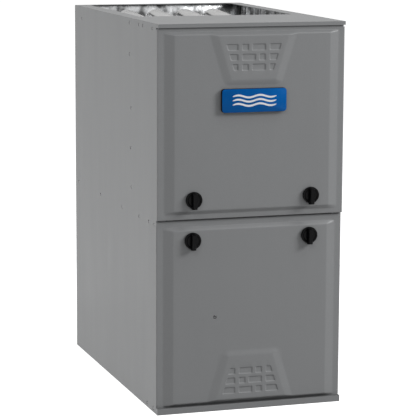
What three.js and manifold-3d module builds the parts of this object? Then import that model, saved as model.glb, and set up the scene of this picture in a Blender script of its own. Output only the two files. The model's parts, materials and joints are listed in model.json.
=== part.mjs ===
// A forced air gas furnace: a folded steel cabinet that stands on the floor and is open at the top,
// with two pressed doors on its front. The lower compartment holds the blower and the controls, the
// upper one the burners, the heat exchangers and the draught inducer.
//
// Millimetres, +Z up. X runs across the cabinet and Y from front to back. Pieces are laid out in the
// cabinet's own frame, whose origin is on the floor, midway across, under the front of the top lip.

import * as THREE from "three";
import { mergeVertices } from "three/addons/utils/BufferGeometryUtils.js";
import Module from "manifold-3d";

const wasm = await Module();
wasm.setup();

// ---------------------------------------------------------------- cabinet sizes

const WIDTH = 444.5;
const DEPTH = 749.3; // lip to back wall
const HEIGHT = 889;
const SHEET = 1.2; // folded steel sheet
const GAP = 0.3; // between two pieces that lie against each other

const CASE_SETBACK = 14.5; // front edge of the side walls, behind the lip
const FRONT_FLANGE = 22;
const TOP_SIDE_FLANGE = 35;
const TOP_REAR_FLANGE = 19;
const FLOOR_FLANGE = 25;

const LIP_HEIGHT = 8.5;
const DECK_REACH = 262; // lip to the rear edge of the top deck
const DECK_SKIRT = 18;
const DECK_REAR_SKIRT = 15;

const RAIL_SETBACK = 4;
const RAIL_HEIGHT = 14.5;
const RAIL_REACH = 60;

const UPPER_SPACE = 453; // blower deck to the top of the cabinet
const SHELF_SKIRT = 20;
const MID_RAIL_RISE = 38; // above the shelf
const MID_RAIL_DROP = 18; // below it
const MID_RAIL_REACH = 45;
const PANEL_SETBACK = 226; // plate that carries the exchanger
const PANEL_HEM = 12;

// ---------------------------------------------------------------- door sizes

const SEAM_LIFT = 11; // blower deck to the middle of the open joint between the doors
const SEAM = 2.6;
const UPPER_DOOR_HEADROOM = 4.5; // below the top of the cabinet
const LOWER_DOOR_LIFT = 3.5; // above the floor
const UPPER_DOOR_SETBACK = 5;
const LOWER_DOOR_SETBACK = 12.5;
const NOTCH = 2.5; // each side of a door steps in where it goes between the folded returns
const NOTCH_OVERRUN = 4;

const FIELD_RISE = 8;
const SIDE_BORDER = 15.5;
const SIDE_BEVEL = 22;
const UPPER_TOP_BORDER = 14.5;
const UPPER_TOP_BEVEL = 5.5;
const UPPER_BOTTOM_BORDER = 11.7;
const UPPER_BOTTOM_BEVEL = 9;
const LOWER_TOP_BORDER = 14.7;
const LOWER_TOP_BEVEL = 8;
const LOWER_BOTTOM_BORDER = 11.5;
const LOWER_BOTTOM_BEVEL = 7.5;

const GRILLE_RISE = 4.2;
const UPPER_GRILLE_LENGTH = 115;
const LOWER_GRILLE_LENGTH = 117.5;
const GRILLE_HALF = 68; // half the width of the narrow end
const GRILLE_FLARE = 0.31; // gain of half width for each millimetre towards the wide end
const GRILLE_SIDE_BEVEL = 19;
const GRILLE_END_BEVEL = 13;
const GRILLE_STEP = 0.5; // the wide end stops this short of the field's own bevel

const SLOT_ROWS = 3;
const SLOT_PITCH = 22.5;
const SLOT_HEIGHT = 15;
const SLOT_DEPTH = 2;
const SLOT_MARGIN = 12; // outer slot to the edge of the raised panel
const SLOT_BRIDGE = 9; // between the outer slots and the middle pair
const MIDDLE_HALF = 28.1; // half the width of the middle pair
const MIDDLE_BRIDGE = 7.5;
const MIDDLE_SHORT = 16; // the shorter slot of the middle pair
const UPPER_FIRST_SLOT = 40.5; // narrow end to the middle of the first row
const LOWER_FIRST_SLOT = 48.5;

const BADGE_WIDTH = 153.5;
const BADGE_HEIGHT = 53.5;
const BADGE_THICKNESS = 10;
const BADGE_CORNER = 7;
const BADGE_DROP = 173; // top of the cabinet to the middle of the badge

const SIGHT_RADIUS = 4;
const SIGHT_FLANGE_RADIUS = 6.5;
const SIGHT_FLANGE = 2;
const SIGHT_OFFSET = 85.5; // left of the middle
const SIGHT_DROP = 226.4; // seam to the middle of the sight glass

const KNOB_OFFSET = 140; // each side of the middle
const KNOB_FROM_SEAM = 47;
const KNOB_RADIUS = 19.2;
const KNOB_SKIRT = 8;
const KNOB_REACH = 18; // door to the front of the grip
const GRIP_WIDTH = 12;
const GRIP_TAPER = 1.5;
const GRIP_UP = 17;
const GRIP_DOWN = 21.5;
const KNOB_SHAFT_RADIUS = 4.7;
const TONGUE_CLEARANCE = 1; // behind the strip it hooks
const TONGUE_THICKNESS = 2.5;
const TONGUE_LENGTH = 33;
const TONGUE_TAIL = 9;
const TONGUE_WIDTH = 14;

// ---------------------------------------------------------------- blower sizes

const WHEEL_SHARE = 0.275; // wheel radius to the height under the blower deck
const WHEEL_WIDTH = 190;
const WHEEL_BLADES = 20;
const BLADE_DEPTH = 9;
const BLADE_THICKNESS = 1.6;
const BLADE_LEAN = 0.35; // radians
const WHEEL_RING = 4;
const WHEEL_DISC = 2.5;
const WHEEL_DISC_OFFSET = 20; // left of the middle
const HUB_RADIUS = 15;
const HUB_LENGTH = 34;
const SHAFT_RADIUS = 6.35;
const SCROLL_START = 10; // wheel to the scroll at the cut-off
const SCROLL_END = 68; // wheel to the scroll at the outlet
const SCROLL_STEPS = 14;
const CUTOFF_LEAD = 20; // outlet's front wall ahead of the wheel's axis
const HOUSING_WIDTH = 230;
const HOUSING_FLANGE = 12;
const INLET_STEP = 22; // wheel radius to inlet radius
const BLOWER_SETBACK = 400; // lip to the wheel's axis
const BLOWER_LOW = 3; // wheel's axis below the middle of its compartment
const MOTOR_RADIUS = 70;
const MOTOR_LENGTH = 100;
const MOTOR_SHOULDER = 12; // step of the end bells in radius
const MOTOR_NECK = 5; // and along the axis
const MOTOR_OVERHANG = 3; // beyond the housing's side
const MOTOR_BAND = 24;
const MOTOR_LEGS = 3;
const LEG_WIDTH = 16;
const LEG_THICKNESS = 2;
const LEG_REACH = 20; // past the edge of the inlet

// ---------------------------------------------------------------- heat exchanger sizes

const TUBE_RADIUS = 22;
const TUBE_WALL = 1.5;
const TUBE_PITCH = 76;
const TUBE_COUNT = 4;
const TUBE_PASSES = 4;
const TUBE_BEND = 33;
const TUBE_TILT = THREE.MathUtils.degToRad(3); // up towards the rear
const TUBE_DROP = 51; // top of the cabinet to the burner line
const TUBE_STUB = 4; // ahead of the panel
const REAR_BEND = 414; // panel to the centre of the rear bends
const FRONT_BEND = 74;

const COUPLING_HALF = 146;
const COUPLING_DEPTH = 40;
const COUPLING_RISE = 28; // above the tubes' outlets
const COIL_HALF = 170;
const COIL_LIFT = 34; // above the shelf
const COIL_HEIGHT = 136;
const COIL_LENGTH = 412;
const COIL_FINS = 9;
const COIL_FIN = 1.5;
const COIL_MARGIN = 2; // fin plates stand this far above and below the header
const COIL_TUBE_RADIUS = 9;
const COIL_TUBE_PITCH = 180;
const COIL_TUBE_ROWS = 2;
const HEADER_LENGTH = 34;
const HEADER_HALF = 150;
const GAS_WINDOW_HALF = 132;
const GAS_WINDOW = 30;
const WINDOW_MARGIN = 4;
const COLLECTOR_DEPTH = 45;
const COLLECTOR_LIFT = 10; // above the shelf
const COLLECTOR_HEIGHT = 114;
const BOX_SEAM = 5; // between the collector and the coupling box

const INDUCER_RADIUS = 72;
const INDUCER_DEPTH = 60;
const INDUCER_WALL = 2.5;
const INDUCER_LIFT = 84; // shelf to the inducer's axis
const INDUCER_EYE = 26;
const INDUCER_WHEEL_RADIUS = 55;
const INDUCER_WHEEL_DEPTH = 26;
const INDUCER_BLADES = 10;
const INDUCER_MOTOR_RADIUS = 42.5;
const INDUCER_MOTOR_LENGTH = 74;
const MOTOR_NOSE = 0.7; // front of the inducer motor, as a share of its radius
const MOTOR_TAIL = 0.8;
const INDUCER_SHAFT_RADIUS = 4;
const OUTLET_RISE = 82; // inducer's axis to the top of its outlet
const VENT_RADIUS = 30;
const VENT_WALL = 2.5;
const VENT_BEND = 45;
const VENT_RISE = 72; // inducer's outlet to the level run

const TRAP_WIDTH = 56;
const TRAP_DEPTH = 48;
const TRAP_HEIGHT = 96;
const TRAP_OFFSET = 112;
const TRAP_RIBS = 3;
const TRAP_RIB = 3;

// ---------------------------------------------------------------- gas sizes

const BURNER_LENGTH = 84;
const BURNER_MOUTH = 17;
const BURNER_THROAT = 11.5;
const BURNER_HEAD = 20;
const BURNER_WALL = 1.5;
const THROAT_PLACE = 0.28; // along the burner
const HEAD_PLACE = 0.72;
const BURNER_STANDOFF = 10; // burner's head to the panel
const RACK_SETBACK = 29; // rack plate ahead of the panel
const RACK_HALF = 150;
const RACK_RISE = 34; // each way from the burner line
const MANIFOLD_RADIUS = 10.7;
const MANIFOLD_BEND = 24;
const MANIFOLD_END = 136; // left of the middle
const SPUD_RADIUS = 6;
const SPUD_GAP = 3; // spud to the burner's mouth
const SPUD_LENGTH = 10;
const VALVE_WIDTH = 64;
const VALVE_DEPTH = 64;
const VALVE_HEIGHT = 72;
const VALVE_DROP = 54; // burner line to the valve's top
const VALVE_OFFSET = 120;
const VALVE_BOSS_RADIUS = 15;
const VALVE_BOSS = 20;
const VALVE_TOWER_RADIUS = 10;
const VALVE_TOWER = 9;
const GAS_KNOB_RADIUS = 14;
const GAS_KNOB_LENGTH = 14;
const GAS_GRIP = 0.9; // half the grip, as a share of the radius
const GAS_ENTRY_RADIUS = 22;
const PROBE_OFFSET = 76;
const PROBE_DROP = 20;
const PROBE_BODY_RADIUS = 5;
const PROBE_BODY = 20;
const PROBE_ROD_RADIUS = 1.6;
const PROBE_ROD = 24;
const SWITCH_RADIUS = 9;
const SWITCH_BODY = 10;
const SWITCH_NECK = 0.6; // front of the switch, as a share of its radius
const SWITCH_RISE = 24;

const PRESSURE_RADIUS = 40;
const PRESSURE_DEPTH = 28;
const PRESSURE_REAR = 0.75; // shares of the radius
const PRESSURE_FRONT = 0.6;
const PRESSURE_SETBACK = 120;
const PRESSURE_LIFT = 204; // above the shelf
const SMALL_TUBE_RADIUS = 4;
const SMALL_TUBE_BEND = 18;

// ---------------------------------------------------------------- control sizes

const BRACKET_SETBACK = 110;
const BRACKET_HALF = 112;
const BRACKET_HEIGHT = 206;
const BRACKET_FLANGE = 30;
const BOARD_WIDTH = 180;
const BOARD_HEIGHT = 118;
const BOARD_THICKNESS = 1.6;
const BOARD_STANDOFF = 10;
const BOARD_DROP = 20; // shelf to the board's top edge
const BOARD_MARGIN = 8;
const POST_RADIUS = 3;
const RELAY_SIZE = 18;
const RELAYS = 3;
const RELAY_PITCH = 28.8;
const TRANSFORMER_WIDTH = 66;
const TRANSFORMER_DEPTH = 48;
const TRANSFORMER_HEIGHT = 52;
const TRANSFORMER_MARGIN = 10;
const CORE_DEPTH = 38.4;
const JUNCTION_WIDTH = 60;
const JUNCTION_DEPTH = 70;
const JUNCTION_HEIGHT = 80;
const JUNCTION_SETBACK = 40;
const JUNCTION_DROP = 96; // shelf to the box's top
const POWER_ENTRY_RADIUS = 11;
const SWITCH_BOX_WIDTH = 32;
const SWITCH_BOX_DEPTH = 38;
const SWITCH_BOX_HEIGHT = 36;
const SWITCH_BOX_SETBACK = 20;
const PLUNGER_RADIUS = 4;
const PLUNGER_DROP = 26; // shelf to the plunger's axis
const PLUNGER_LENGTH = 42;
const PLUNGER_TRAVEL = 5;
const HARNESS_RADIUS = 6;
const HARNESS_REACH = 48; // past the bracket
const LEAD_RADIUS = 5;
const CABLE_BEND = 22;

// ---------------------------------------------------------------- places that follow

const SHELF_TOP = HEIGHT - UPPER_SPACE;
const SEAM_HEIGHT = SHELF_TOP + SEAM_LIFT;
const WHEEL_RADIUS = WHEEL_SHARE * SHELF_TOP;
const INLET_RADIUS = WHEEL_RADIUS - INLET_STEP;
const BLOWER_DROP = SHELF_TOP / 2 + BLOWER_LOW;
const PRESSURE_HEIGHT = SHELF_TOP + PRESSURE_LIFT;
const HALF = WIDTH / 2;
const INSIDE = HALF - SHEET; // inner face of a side wall
const INNER = INSIDE - GAP; // edge of what lies between the side walls
const REAR = DEPTH - SHEET; // inner face of the back wall
const DOOR_REAR = CASE_SETBACK - GAP;
const CASE_FACE = CASE_SETBACK + SHEET; // rear of the front flanges
const FITTED_FRONT = CASE_FACE + 2 * GAP; // front edge of the decks and plates inside
const DECK_UNDERSIDE = HEIGHT - SHEET;
const SHELF_UNDERSIDE = SHELF_TOP - SHEET;
const PANEL_REAR = PANEL_SETBACK + SHEET;
const PANEL_FACE = PANEL_SETBACK - GAP; // rear of what stands against the panel
const BURNER_LINE = HEIGHT - TUBE_DROP;
const TUBE_SPAN = TUBE_BEND * 2 * (TUBE_PASSES - 1);
const OUTLET_LINE = BURNER_LINE - TUBE_SPAN / Math.cos(TUBE_TILT);
const COLLECTOR_BOTTOM = SHELF_TOP + COLLECTOR_LIFT;
const COLLECTOR_TOP = COLLECTOR_BOTTOM + COLLECTOR_HEIGHT;
const COLLECTOR_FRONT = PANEL_FACE - COLLECTOR_DEPTH;
const INDUCER_LINE = SHELF_TOP + INDUCER_LIFT;
const INDUCER_REAR = COLLECTOR_FRONT - GAP;
const INDUCER_FRONT = INDUCER_REAR - INDUCER_DEPTH;
const BURNER_FRONT = PANEL_SETBACK - BURNER_STANDOFF - BURNER_LENGTH;
const SPUD_TIP = BURNER_FRONT - SPUD_GAP;
const MANIFOLD_Y = SPUD_TIP - SPUD_LENGTH - MANIFOLD_RADIUS;
const RACK_FRONT = PANEL_SETBACK - RACK_SETBACK;
const VALVE_TOP = BURNER_LINE - VALVE_DROP;
const VALVE_MIDDLE = VALVE_TOP - VALVE_HEIGHT / 2;
const VENT_X = INDUCER_RADIUS - VENT_RADIUS;
const VENT_Y = (INDUCER_FRONT + INDUCER_REAR) / 2;
const VENT_FOOT = INDUCER_LINE + OUTLET_RISE + GAP;
const VENT_LINE = VENT_FOOT + VENT_RISE;
const BLOWER_LINE = SHELF_TOP - BLOWER_DROP;
const JUNCTION_TOP = SHELF_TOP - JUNCTION_DROP;
const JUNCTION_MIDDLE = JUNCTION_TOP - JUNCTION_HEIGHT / 2;
const JUNCTION_Y = JUNCTION_SETBACK + JUNCTION_DEPTH / 2;
const BOARD_TOP = SHELF_TOP - BOARD_DROP;
const BOARD_FRONT = BRACKET_SETBACK - GAP - BOARD_STANDOFF - BOARD_THICKNESS;
const HARNESS_Y = BOARD_FRONT - RELAY_SIZE / 2;
const HARNESS_X = -BRACKET_HALF - HARNESS_REACH;
const CONNECTOR_X = BOARD_WIDTH / 2;
const CONNECTOR_Z = BOARD_TOP - BOARD_HEIGHT / 2;
const TUBE_PLACES = spread(TUBE_COUNT, TUBE_PITCH);

const UPPER_DOOR = {
  bottom: SEAM_HEIGHT + SEAM / 2,
  top: HEIGHT - UPPER_DOOR_HEADROOM,
  front: UPPER_DOOR_SETBACK,
  bottomBorder: UPPER_BOTTOM_BORDER,
  bottomBevel: UPPER_BOTTOM_BEVEL,
  topBorder: UPPER_TOP_BORDER,
  topBevel: UPPER_TOP_BEVEL,
  notch: [HEIGHT - LIP_HEIGHT - NOTCH_OVERRUN, HEIGHT],
  grilleUp: true,
  grilleLength: UPPER_GRILLE_LENGTH,
  firstSlot: UPPER_FIRST_SLOT,
};

const LOWER_DOOR = {
  bottom: LOWER_DOOR_LIFT,
  top: SEAM_HEIGHT - SEAM / 2,
  front: LOWER_DOOR_SETBACK,
  bottomBorder: LOWER_BOTTOM_BORDER,
  bottomBevel: LOWER_BOTTOM_BEVEL,
  topBorder: LOWER_TOP_BORDER,
  topBevel: LOWER_TOP_BEVEL,
  notch: [0, RAIL_HEIGHT + NOTCH_OVERRUN],
  grilleUp: false,
  grilleLength: LOWER_GRILLE_LENGTH,
  firstSlot: LOWER_FIRST_SLOT,
};

const UPPER_FIELD = UPPER_DOOR.front - FIELD_RISE;
const LOWER_FIELD = LOWER_DOOR.front - FIELD_RISE;
const UPPER_KNOB_LINE = SEAM_HEIGHT + KNOB_FROM_SEAM;
const LOWER_KNOB_LINE = SEAM_HEIGHT - KNOB_FROM_SEAM;
const FOREMOST = UPPER_FIELD - KNOB_REACH; // front of the upper knobs
const CABINET_PLACE = -(DEPTH + FOREMOST) / 2; // puts the whole depth about the origin

// ---------------------------------------------------------------- finishes

const PAINT = { color: 0x8e9193, roughness: 0.42, metalness: 0.35 };
const GALVANISED = { color: 0xa9adaf, roughness: 0.38, metalness: 0.85 };
const ALUMINISED = { color: 0x9c9c98, roughness: 0.45, metalness: 0.8 };
const STAINLESS = { color: 0xb8b8b4, roughness: 0.3, metalness: 0.95 };
const BLACK_STEEL = { color: 0x1c1d1f, roughness: 0.5, metalness: 0.4 };
const BLACK_PLASTIC = { color: 0x141416, roughness: 0.35, metalness: 0 };
const GREY_PLASTIC = { color: 0x55585c, roughness: 0.55, metalness: 0 };
const BADGE_BLUE = { color: 0x0560a6, roughness: 0.3, metalness: 0 };
const CLEAR = { color: 0x2a3038, roughness: 0.1, metalness: 0 };
const PIPE_STEEL = { color: 0x2b2c2e, roughness: 0.6, metalness: 0.6 };
const CAST_ALUMINIUM = { color: 0xb4b6b8, roughness: 0.5, metalness: 0.8 };
const CERAMIC = { color: 0xe6e2d8, roughness: 0.7, metalness: 0 };
const BOARD_GREEN = { color: 0x1e5a38, roughness: 0.5, metalness: 0 };
const WHITE_PLASTIC = { color: 0xe8e8e4, roughness: 0.4, metalness: 0 };
const RUBBER = { color: 0x1a1a1b, roughness: 0.8, metalness: 0 };

// ---------------------------------------------------------------- solids

const WELD = 1e-4;
const CORNER_STEPS = 1000; // steps per millimetre that corners are rounded to before a join
const WELD_STEPS = 20; // and after it
const NEEDLE = 0.04; // a face no higher than this is flipped away
const NEEDLE_TURNS = 400;
const OVERRUN = 1; // a cut runs this far past the face it opens
const BITE = SHEET / 2; // joined shapes run this far into each other

function onGrid(value, stepsPerMm) {
  return Math.round(value * stepsPerMm) / stepsPerMm;
}

function volumeOf(positions, faces) {
  const [a, b, c] = [new THREE.Vector3(), new THREE.Vector3(), new THREE.Vector3()];
  let volume = 0;
  for (let i = 0; i < faces.length; i += 3) {
    a.fromArray(positions, 3 * faces[i]);
    b.fromArray(positions, 3 * faces[i + 1]);
    c.fromArray(positions, 3 * faces[i + 2]);
    volume += a.dot(b.cross(c)) / 6;
  }
  return volume;
}

// A closed geometry as a solid, with its faces turned outwards.
function solidFrom(geometry) {
  geometry.deleteAttribute("normal");
  geometry.deleteAttribute("uv");
  const merged = mergeVertices(geometry, WELD);
  const positions = merged.attributes.position.array.map((value) => onGrid(value, CORNER_STEPS));
  const index = merged.index.array;
  const faces = [];
  for (let i = 0; i < index.length; i += 3) {
    const [a, b, c] = [index[i], index[i + 1], index[i + 2]];
    if (a !== b && b !== c && c !== a) faces.push(a, b, c);
  }
  if (volumeOf(positions, faces) < 0) faces.reverse();
  const mesh = new wasm.Mesh({
    numProp: 3,
    vertProperties: positions,
    triVerts: new Uint32Array(faces),
  });
  return new wasm.Manifold(mesh);
}

// The corners on a fine grid, and for each old corner the number of its new one.
function weldedCorners(positions) {
  const known = new Map();
  const renamed = [];
  for (let i = 0; i < positions.length; i += 3) {
    const corner = Array.from(positions.slice(i, i + 3), (value) => onGrid(value, WELD_STEPS));
    const key = corner.join();
    if (!known.has(key)) known.set(key, { number: known.size, corner });
    renamed.push(known.get(key).number);
  }
  return { corners: [...known.values()].map((entry) => entry.corner), renamed };
}

// How far the third corner of a face stands off its longest side, and that side's start.
function faceHeight(face, corners) {
  const points = face.map((number) => new THREE.Vector3(...corners[number]));
  const sides = points.map((point, i) => point.distanceTo(points[(i + 1) % 3]));
  const start = sides.indexOf(Math.max(...sides));
  const edge = points[1].clone().sub(points[0]);
  const other = points[2].clone().sub(points[0]);
  return { height: edge.cross(other).length() / sides[start], start };
}

// One needle face shares out its longest side with the face beyond it.
function flipNeedle(faces, corners) {
  const beyond = new Map();
  faces.forEach((face, i) => face.forEach((from, k) => beyond.set(`${from},${face[(k + 1) % 3]}`, i)));
  for (let i = 0; i < faces.length; i += 1) {
    const { height, start } = faceHeight(faces[i], corners);
    if (height > NEEDLE) continue;
    const [a, b, c] = [0, 1, 2].map((k) => faces[i][(start + k) % 3]);
    const other = beyond.get(`${b},${a}`);
    if (other === undefined) continue;
    const d = faces[other].find((corner) => corner !== a && corner !== b);
    if (beyond.has(`${c},${d}`) || beyond.has(`${d},${c}`)) continue;
    const folded = c === d;
    faces[i] = folded ? null : [a, d, c];
    faces[other] = folded ? null : [d, b, c];
    return true;
  }
  return false;
}

function geometryFrom(solid) {
  const mesh = solid.getMesh();
  const { corners, renamed } = weldedCorners(mesh.vertProperties);
  let faces = [];
  for (let i = 0; i < mesh.triVerts.length; i += 3) {
    const face = Array.from(mesh.triVerts.slice(i, i + 3), (number) => renamed[number]);
    if (new Set(face).size === 3) faces.push(face);
  }
  for (let turns = 0; turns < NEEDLE_TURNS && flipNeedle(faces, corners); turns += 1) {
    faces = faces.filter((face) => face !== null);
  }
  const geometry = new THREE.BufferGeometry();
  geometry.setAttribute("position", new THREE.Float32BufferAttribute(corners.flat(), 3));
  geometry.setIndex(faces.flat());
  geometry.computeVertexNormals();
  return geometry;
}

function join(...solids) {
  return solids.reduce((whole, solid) => whole.add(solid));
}

function cut(solid, ...cutters) {
  return cutters.reduce((rest, cutter) => rest.subtract(cutter), solid);
}

// `count` places, `pitch` apart and centred on zero.
function spread(count, pitch) {
  return Array.from({ length: count }, (_, i) => (i - (count - 1) / 2) * pitch);
}

function across(half) {
  return [-half, half];
}

// The span on one side of the middle, from `near` to `far`.
function sideSpan(side, near, far) {
  return side < 0 ? [-far, -near] : [near, far];
}

function box([x0, x1], [y0, y1], [z0, z1]) {
  const geometry = new THREE.BoxGeometry(x1 - x0, y1 - y0, z1 - z0);
  geometry.translate((x0 + x1) / 2, (y0 + y1) / 2, (z0 + z1) / 2);
  return solidFrom(geometry);
}

// Turns a geometry made about Y so that it lies about the named axis, then moves it.
function alongAxis(geometry, axis, centre) {
  if (axis === "x") geometry.rotateZ(-Math.PI / 2);
  if (axis === "z") geometry.rotateX(Math.PI / 2);
  return geometry.translate(...centre);
}

function rod(axis, radius, [from, to], centre, sides = 16) {
  const geometry = new THREE.CylinderGeometry(radius, radius, to - from, sides);
  geometry.translate(0, (from + to) / 2, 0);
  return solidFrom(alongAxis(geometry, axis, centre));
}

// A bore that clears a shaft of the given radius by one gap, at the flats of its facets too.
function bore(axis, radius, span, centre, sides = 16) {
  return rod(axis, (radius + GAP) / Math.cos(Math.PI / sides), span, centre, sides);
}

// A turned solid: `profile` holds [radius, distance along the axis] pairs.
function turned(axis, profile, centre, sides = 16) {
  const points = profile.map(([radius, along]) => new THREE.Vector2(radius, along));
  const geometry = new THREE.LatheGeometry(points, sides);
  return solidFrom(alongAxis(geometry, axis, centre));
}

// A plate with the given outline: [x, z] points extruded along Y, or [y, z] points along X.
function plate(axis, outline, [from, to]) {
  const shape = new THREE.Shape(outline.map(([u, v]) => new THREE.Vector2(u, v)));
  const geometry = new THREE.ExtrudeGeometry(shape, { depth: to - from, bevelEnabled: false });
  if (axis === "y") {
    geometry.rotateX(Math.PI / 2);
    geometry.translate(0, to, 0);
  } else {
    const turn = new THREE.Matrix4().makeBasis(
      new THREE.Vector3(0, 1, 0),
      new THREE.Vector3(0, 0, 1),
      new THREE.Vector3(1, 0, 0),
    );
    geometry.applyMatrix4(turn);
    geometry.translate(from, 0, 0);
  }
  return solidFrom(geometry);
}

// A solid through sections of equally many [x, y, z] corners, each section flat and convex.
function loft(sections) {
  const count = sections[0].length;
  const faces = [];
  for (let s = 0; s + 1 < sections.length; s += 1) {
    for (let k = 0; k < count; k += 1) {
      const a = s * count + k;
      const b = s * count + ((k + 1) % count);
      faces.push(a, b, b + count, a, b + count, a + count);
    }
  }
  const last = (sections.length - 1) * count;
  for (let k = 1; k + 1 < count; k += 1) {
    faces.push(0, k + 1, k);
    faces.push(last, last + k, last + k + 1);
  }
  const geometry = new THREE.BufferGeometry();
  geometry.setAttribute("position", new THREE.Float32BufferAttribute(sections.flat(2), 3));
  geometry.setIndex(faces);
  return solidFrom(geometry);
}

// A box that is open on one face: a tray of one sheet's thickness.
function tray(x, y, z, open) {
  const inner = [x, y, z].map(([low, high]) => [low + SHEET, high - SHEET]);
  const axis = { x: 0, y: 1, z: 2 }[open[1]];
  if (open[0] === "+") inner[axis][1] += SHEET + OVERRUN;
  else inner[axis][0] -= SHEET + OVERRUN;
  return cut(box(x, y, z), box(...inner));
}

// ---------------------------------------------------------------- bent tubes

// A route given by its stations, so that a straight run takes one step and a bend a few.
class StationPath extends THREE.Curve {
  constructor() {
    super();
    this.points = [];
    this.tangents = [];
  }

  add(point, tangent) {
    const last = this.points.at(-1);
    if (last && last.distanceTo(point) < WELD) return;
    this.points.push(point.clone());
    this.tangents.push(tangent.clone());
  }

  getPointAt(u, target = new THREE.Vector3()) {
    return target.copy(this.points[Math.round(u * (this.points.length - 1))]);
  }

  getTangentAt(u, target = new THREE.Vector3()) {
    return target.copy(this.tangents[Math.round(u * (this.tangents.length - 1))]);
  }
}

// Straight runs between `corners`, each corner rounded to `radius` in `steps` steps.
function bentPath(corners, radius, steps = 2) {
  const points = corners.map((corner) => new THREE.Vector3(...corner));
  const path = new StationPath();
  let way = points[1].clone().sub(points[0]).normalize();
  path.add(points[0], way);
  for (let i = 1; i + 1 < points.length; i += 1) {
    const next = points[i + 1].clone().sub(points[i]).normalize();
    const turn = way.angleTo(next);
    const inward = next.clone().addScaledVector(way, -next.dot(way)).normalize();
    const start = points[i].clone().addScaledVector(way, -radius * Math.tan(turn / 2));
    for (let k = 0; k <= steps; k += 1) {
      const angle = (turn * k) / steps;
      const point = start.clone().addScaledVector(way, radius * Math.sin(angle));
      point.addScaledVector(inward, radius * (1 - Math.cos(angle)));
      const tangent = way.clone().multiplyScalar(Math.cos(angle));
      tangent.addScaledVector(inward, Math.sin(angle));
      path.add(point, tangent);
    }
    way = next;
  }
  path.add(points.at(-1), way);
  return path;
}

function circle(radius, sides) {
  return Array.from({ length: sides }, (_, k) => {
    const angle = (2 * Math.PI * k) / sides;
    return new THREE.Vector2(radius * Math.cos(angle), radius * Math.sin(angle));
  });
}

// A tube along a path; with no inner radius it is a solid rod.
function tube(path, radius, innerRadius, sides = 12, innerSides = 8) {
  const section = new THREE.Shape(circle(radius, sides));
  if (innerRadius > 0) section.holes.push(new THREE.Path(circle(innerRadius, innerSides)));
  const geometry = new THREE.ExtrudeGeometry(section, {
    steps: path.points.length - 1,
    extrudePath: path,
    bevelEnabled: false,
  });
  return solidFrom(geometry);
}

// ---------------------------------------------------------------- scene pieces

function piece(name, solid, finish, place = [0, 0, 0]) {
  const mesh = new THREE.Mesh(geometryFrom(solid), new THREE.MeshStandardMaterial(finish));
  mesh.name = name;
  mesh.position.set(...place);
  return mesh;
}

function group(meshes, place = [0, 0, 0]) {
  const holder = new THREE.Group();
  holder.position.set(...place);
  holder.add(...meshes);
  return holder;
}

// ---------------------------------------------------------------- cabinet

function wallFlanges(side) {
  return join(
    box(
      sideSpan(side, HALF - FRONT_FLANGE, HALF),
      [CASE_SETBACK, CASE_FACE],
      [SHEET + GAP, DECK_UNDERSIDE - GAP],
    ),
    box(
      sideSpan(side, HALF - TOP_SIDE_FLANGE, HALF),
      [DECK_REACH + GAP, DEPTH],
      [DECK_UNDERSIDE, HEIGHT],
    ),
    box(
      sideSpan(side, HALF - FLOOR_FLANGE, HALF),
      [RAIL_REACH + GAP, DEPTH],
      [0, SHEET],
    ),
  );
}

function casingWrap() {
  const backWall = box(across(HALF), [REAR, DEPTH], [0, HEIGHT]);
  const topFlange = box(
    across(HALF),
    [DEPTH - TOP_REAR_FLANGE, DEPTH],
    [DECK_UNDERSIDE, HEIGHT],
  );
  const floorFlange = box(across(HALF), [DEPTH - FLOOR_FLANGE, DEPTH], [0, SHEET]);
  const sides = [-1, 1].map((side) =>
    join(
      box(sideSpan(side, INSIDE, HALF), [CASE_SETBACK, DEPTH], [0, HEIGHT]),
      wallFlanges(side),
    ),
  );
  const through = [INSIDE - OVERRUN, HALF + OVERRUN];
  const gasEntry = rod("x", GAS_ENTRY_RADIUS, through, [0, MANIFOLD_Y, VALVE_MIDDLE]);
  const ventEntry = bore("x", VENT_RADIUS, through, [0, VENT_Y, VENT_LINE]);
  const powerEntry = rod("x", POWER_ENTRY_RADIUS, through, [0, JUNCTION_Y, JUNCTION_MIDDLE]);
  return cut(
    join(backWall, topFlange, floorFlange, ...sides),
    gasEntry,
    ventEntry,
    powerEntry,
  );
}

function topDeck() {
  const top = [DECK_UNDERSIDE, HEIGHT];
  const lip = [HEIGHT - LIP_HEIGHT, HEIGHT];
  const sides = [-1, 1].map((side) =>
    join(
      box(sideSpan(side, HALF - SHEET, HALF), [0, DOOR_REAR], lip),
      box(
        sideSpan(side, INNER - SHEET, INNER),
        [FITTED_FRONT, PANEL_SETBACK - PANEL_HEM - 2 * GAP],
        [HEIGHT - DECK_SKIRT, HEIGHT],
      ),
    ),
  );
  return join(
    box(across(HALF), [0, DOOR_REAR], top),
    box(across(INNER), [0, DECK_REACH], top),
    box(across(HALF), [0, SHEET], lip),
    box(
      across(INNER),
      [DECK_REACH - SHEET, DECK_REACH],
      [HEIGHT - DECK_REAR_SKIRT, HEIGHT],
    ),
    ...sides,
  );
}

function bottomRail() {
  const ends = [-1, 1].map((side) =>
    box(sideSpan(side, HALF - SHEET, HALF), [RAIL_SETBACK, DOOR_REAR], [0, RAIL_HEIGHT]),
  );
  return join(
    box(across(HALF), [RAIL_SETBACK, RAIL_SETBACK + SHEET], [0, RAIL_HEIGHT]),
    box(across(HALF), [RAIL_SETBACK, DOOR_REAR], [0, SHEET]),
    box(across(INNER), [RAIL_SETBACK, RAIL_REACH], [0, SHEET]),
    ...ends,
  );
}

function bottomClosure() {
  const bottom = SHEET + GAP;
  return box(across(INNER), [FITTED_FRONT, REAR - GAP], [bottom, bottom + SHEET]);
}

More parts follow.
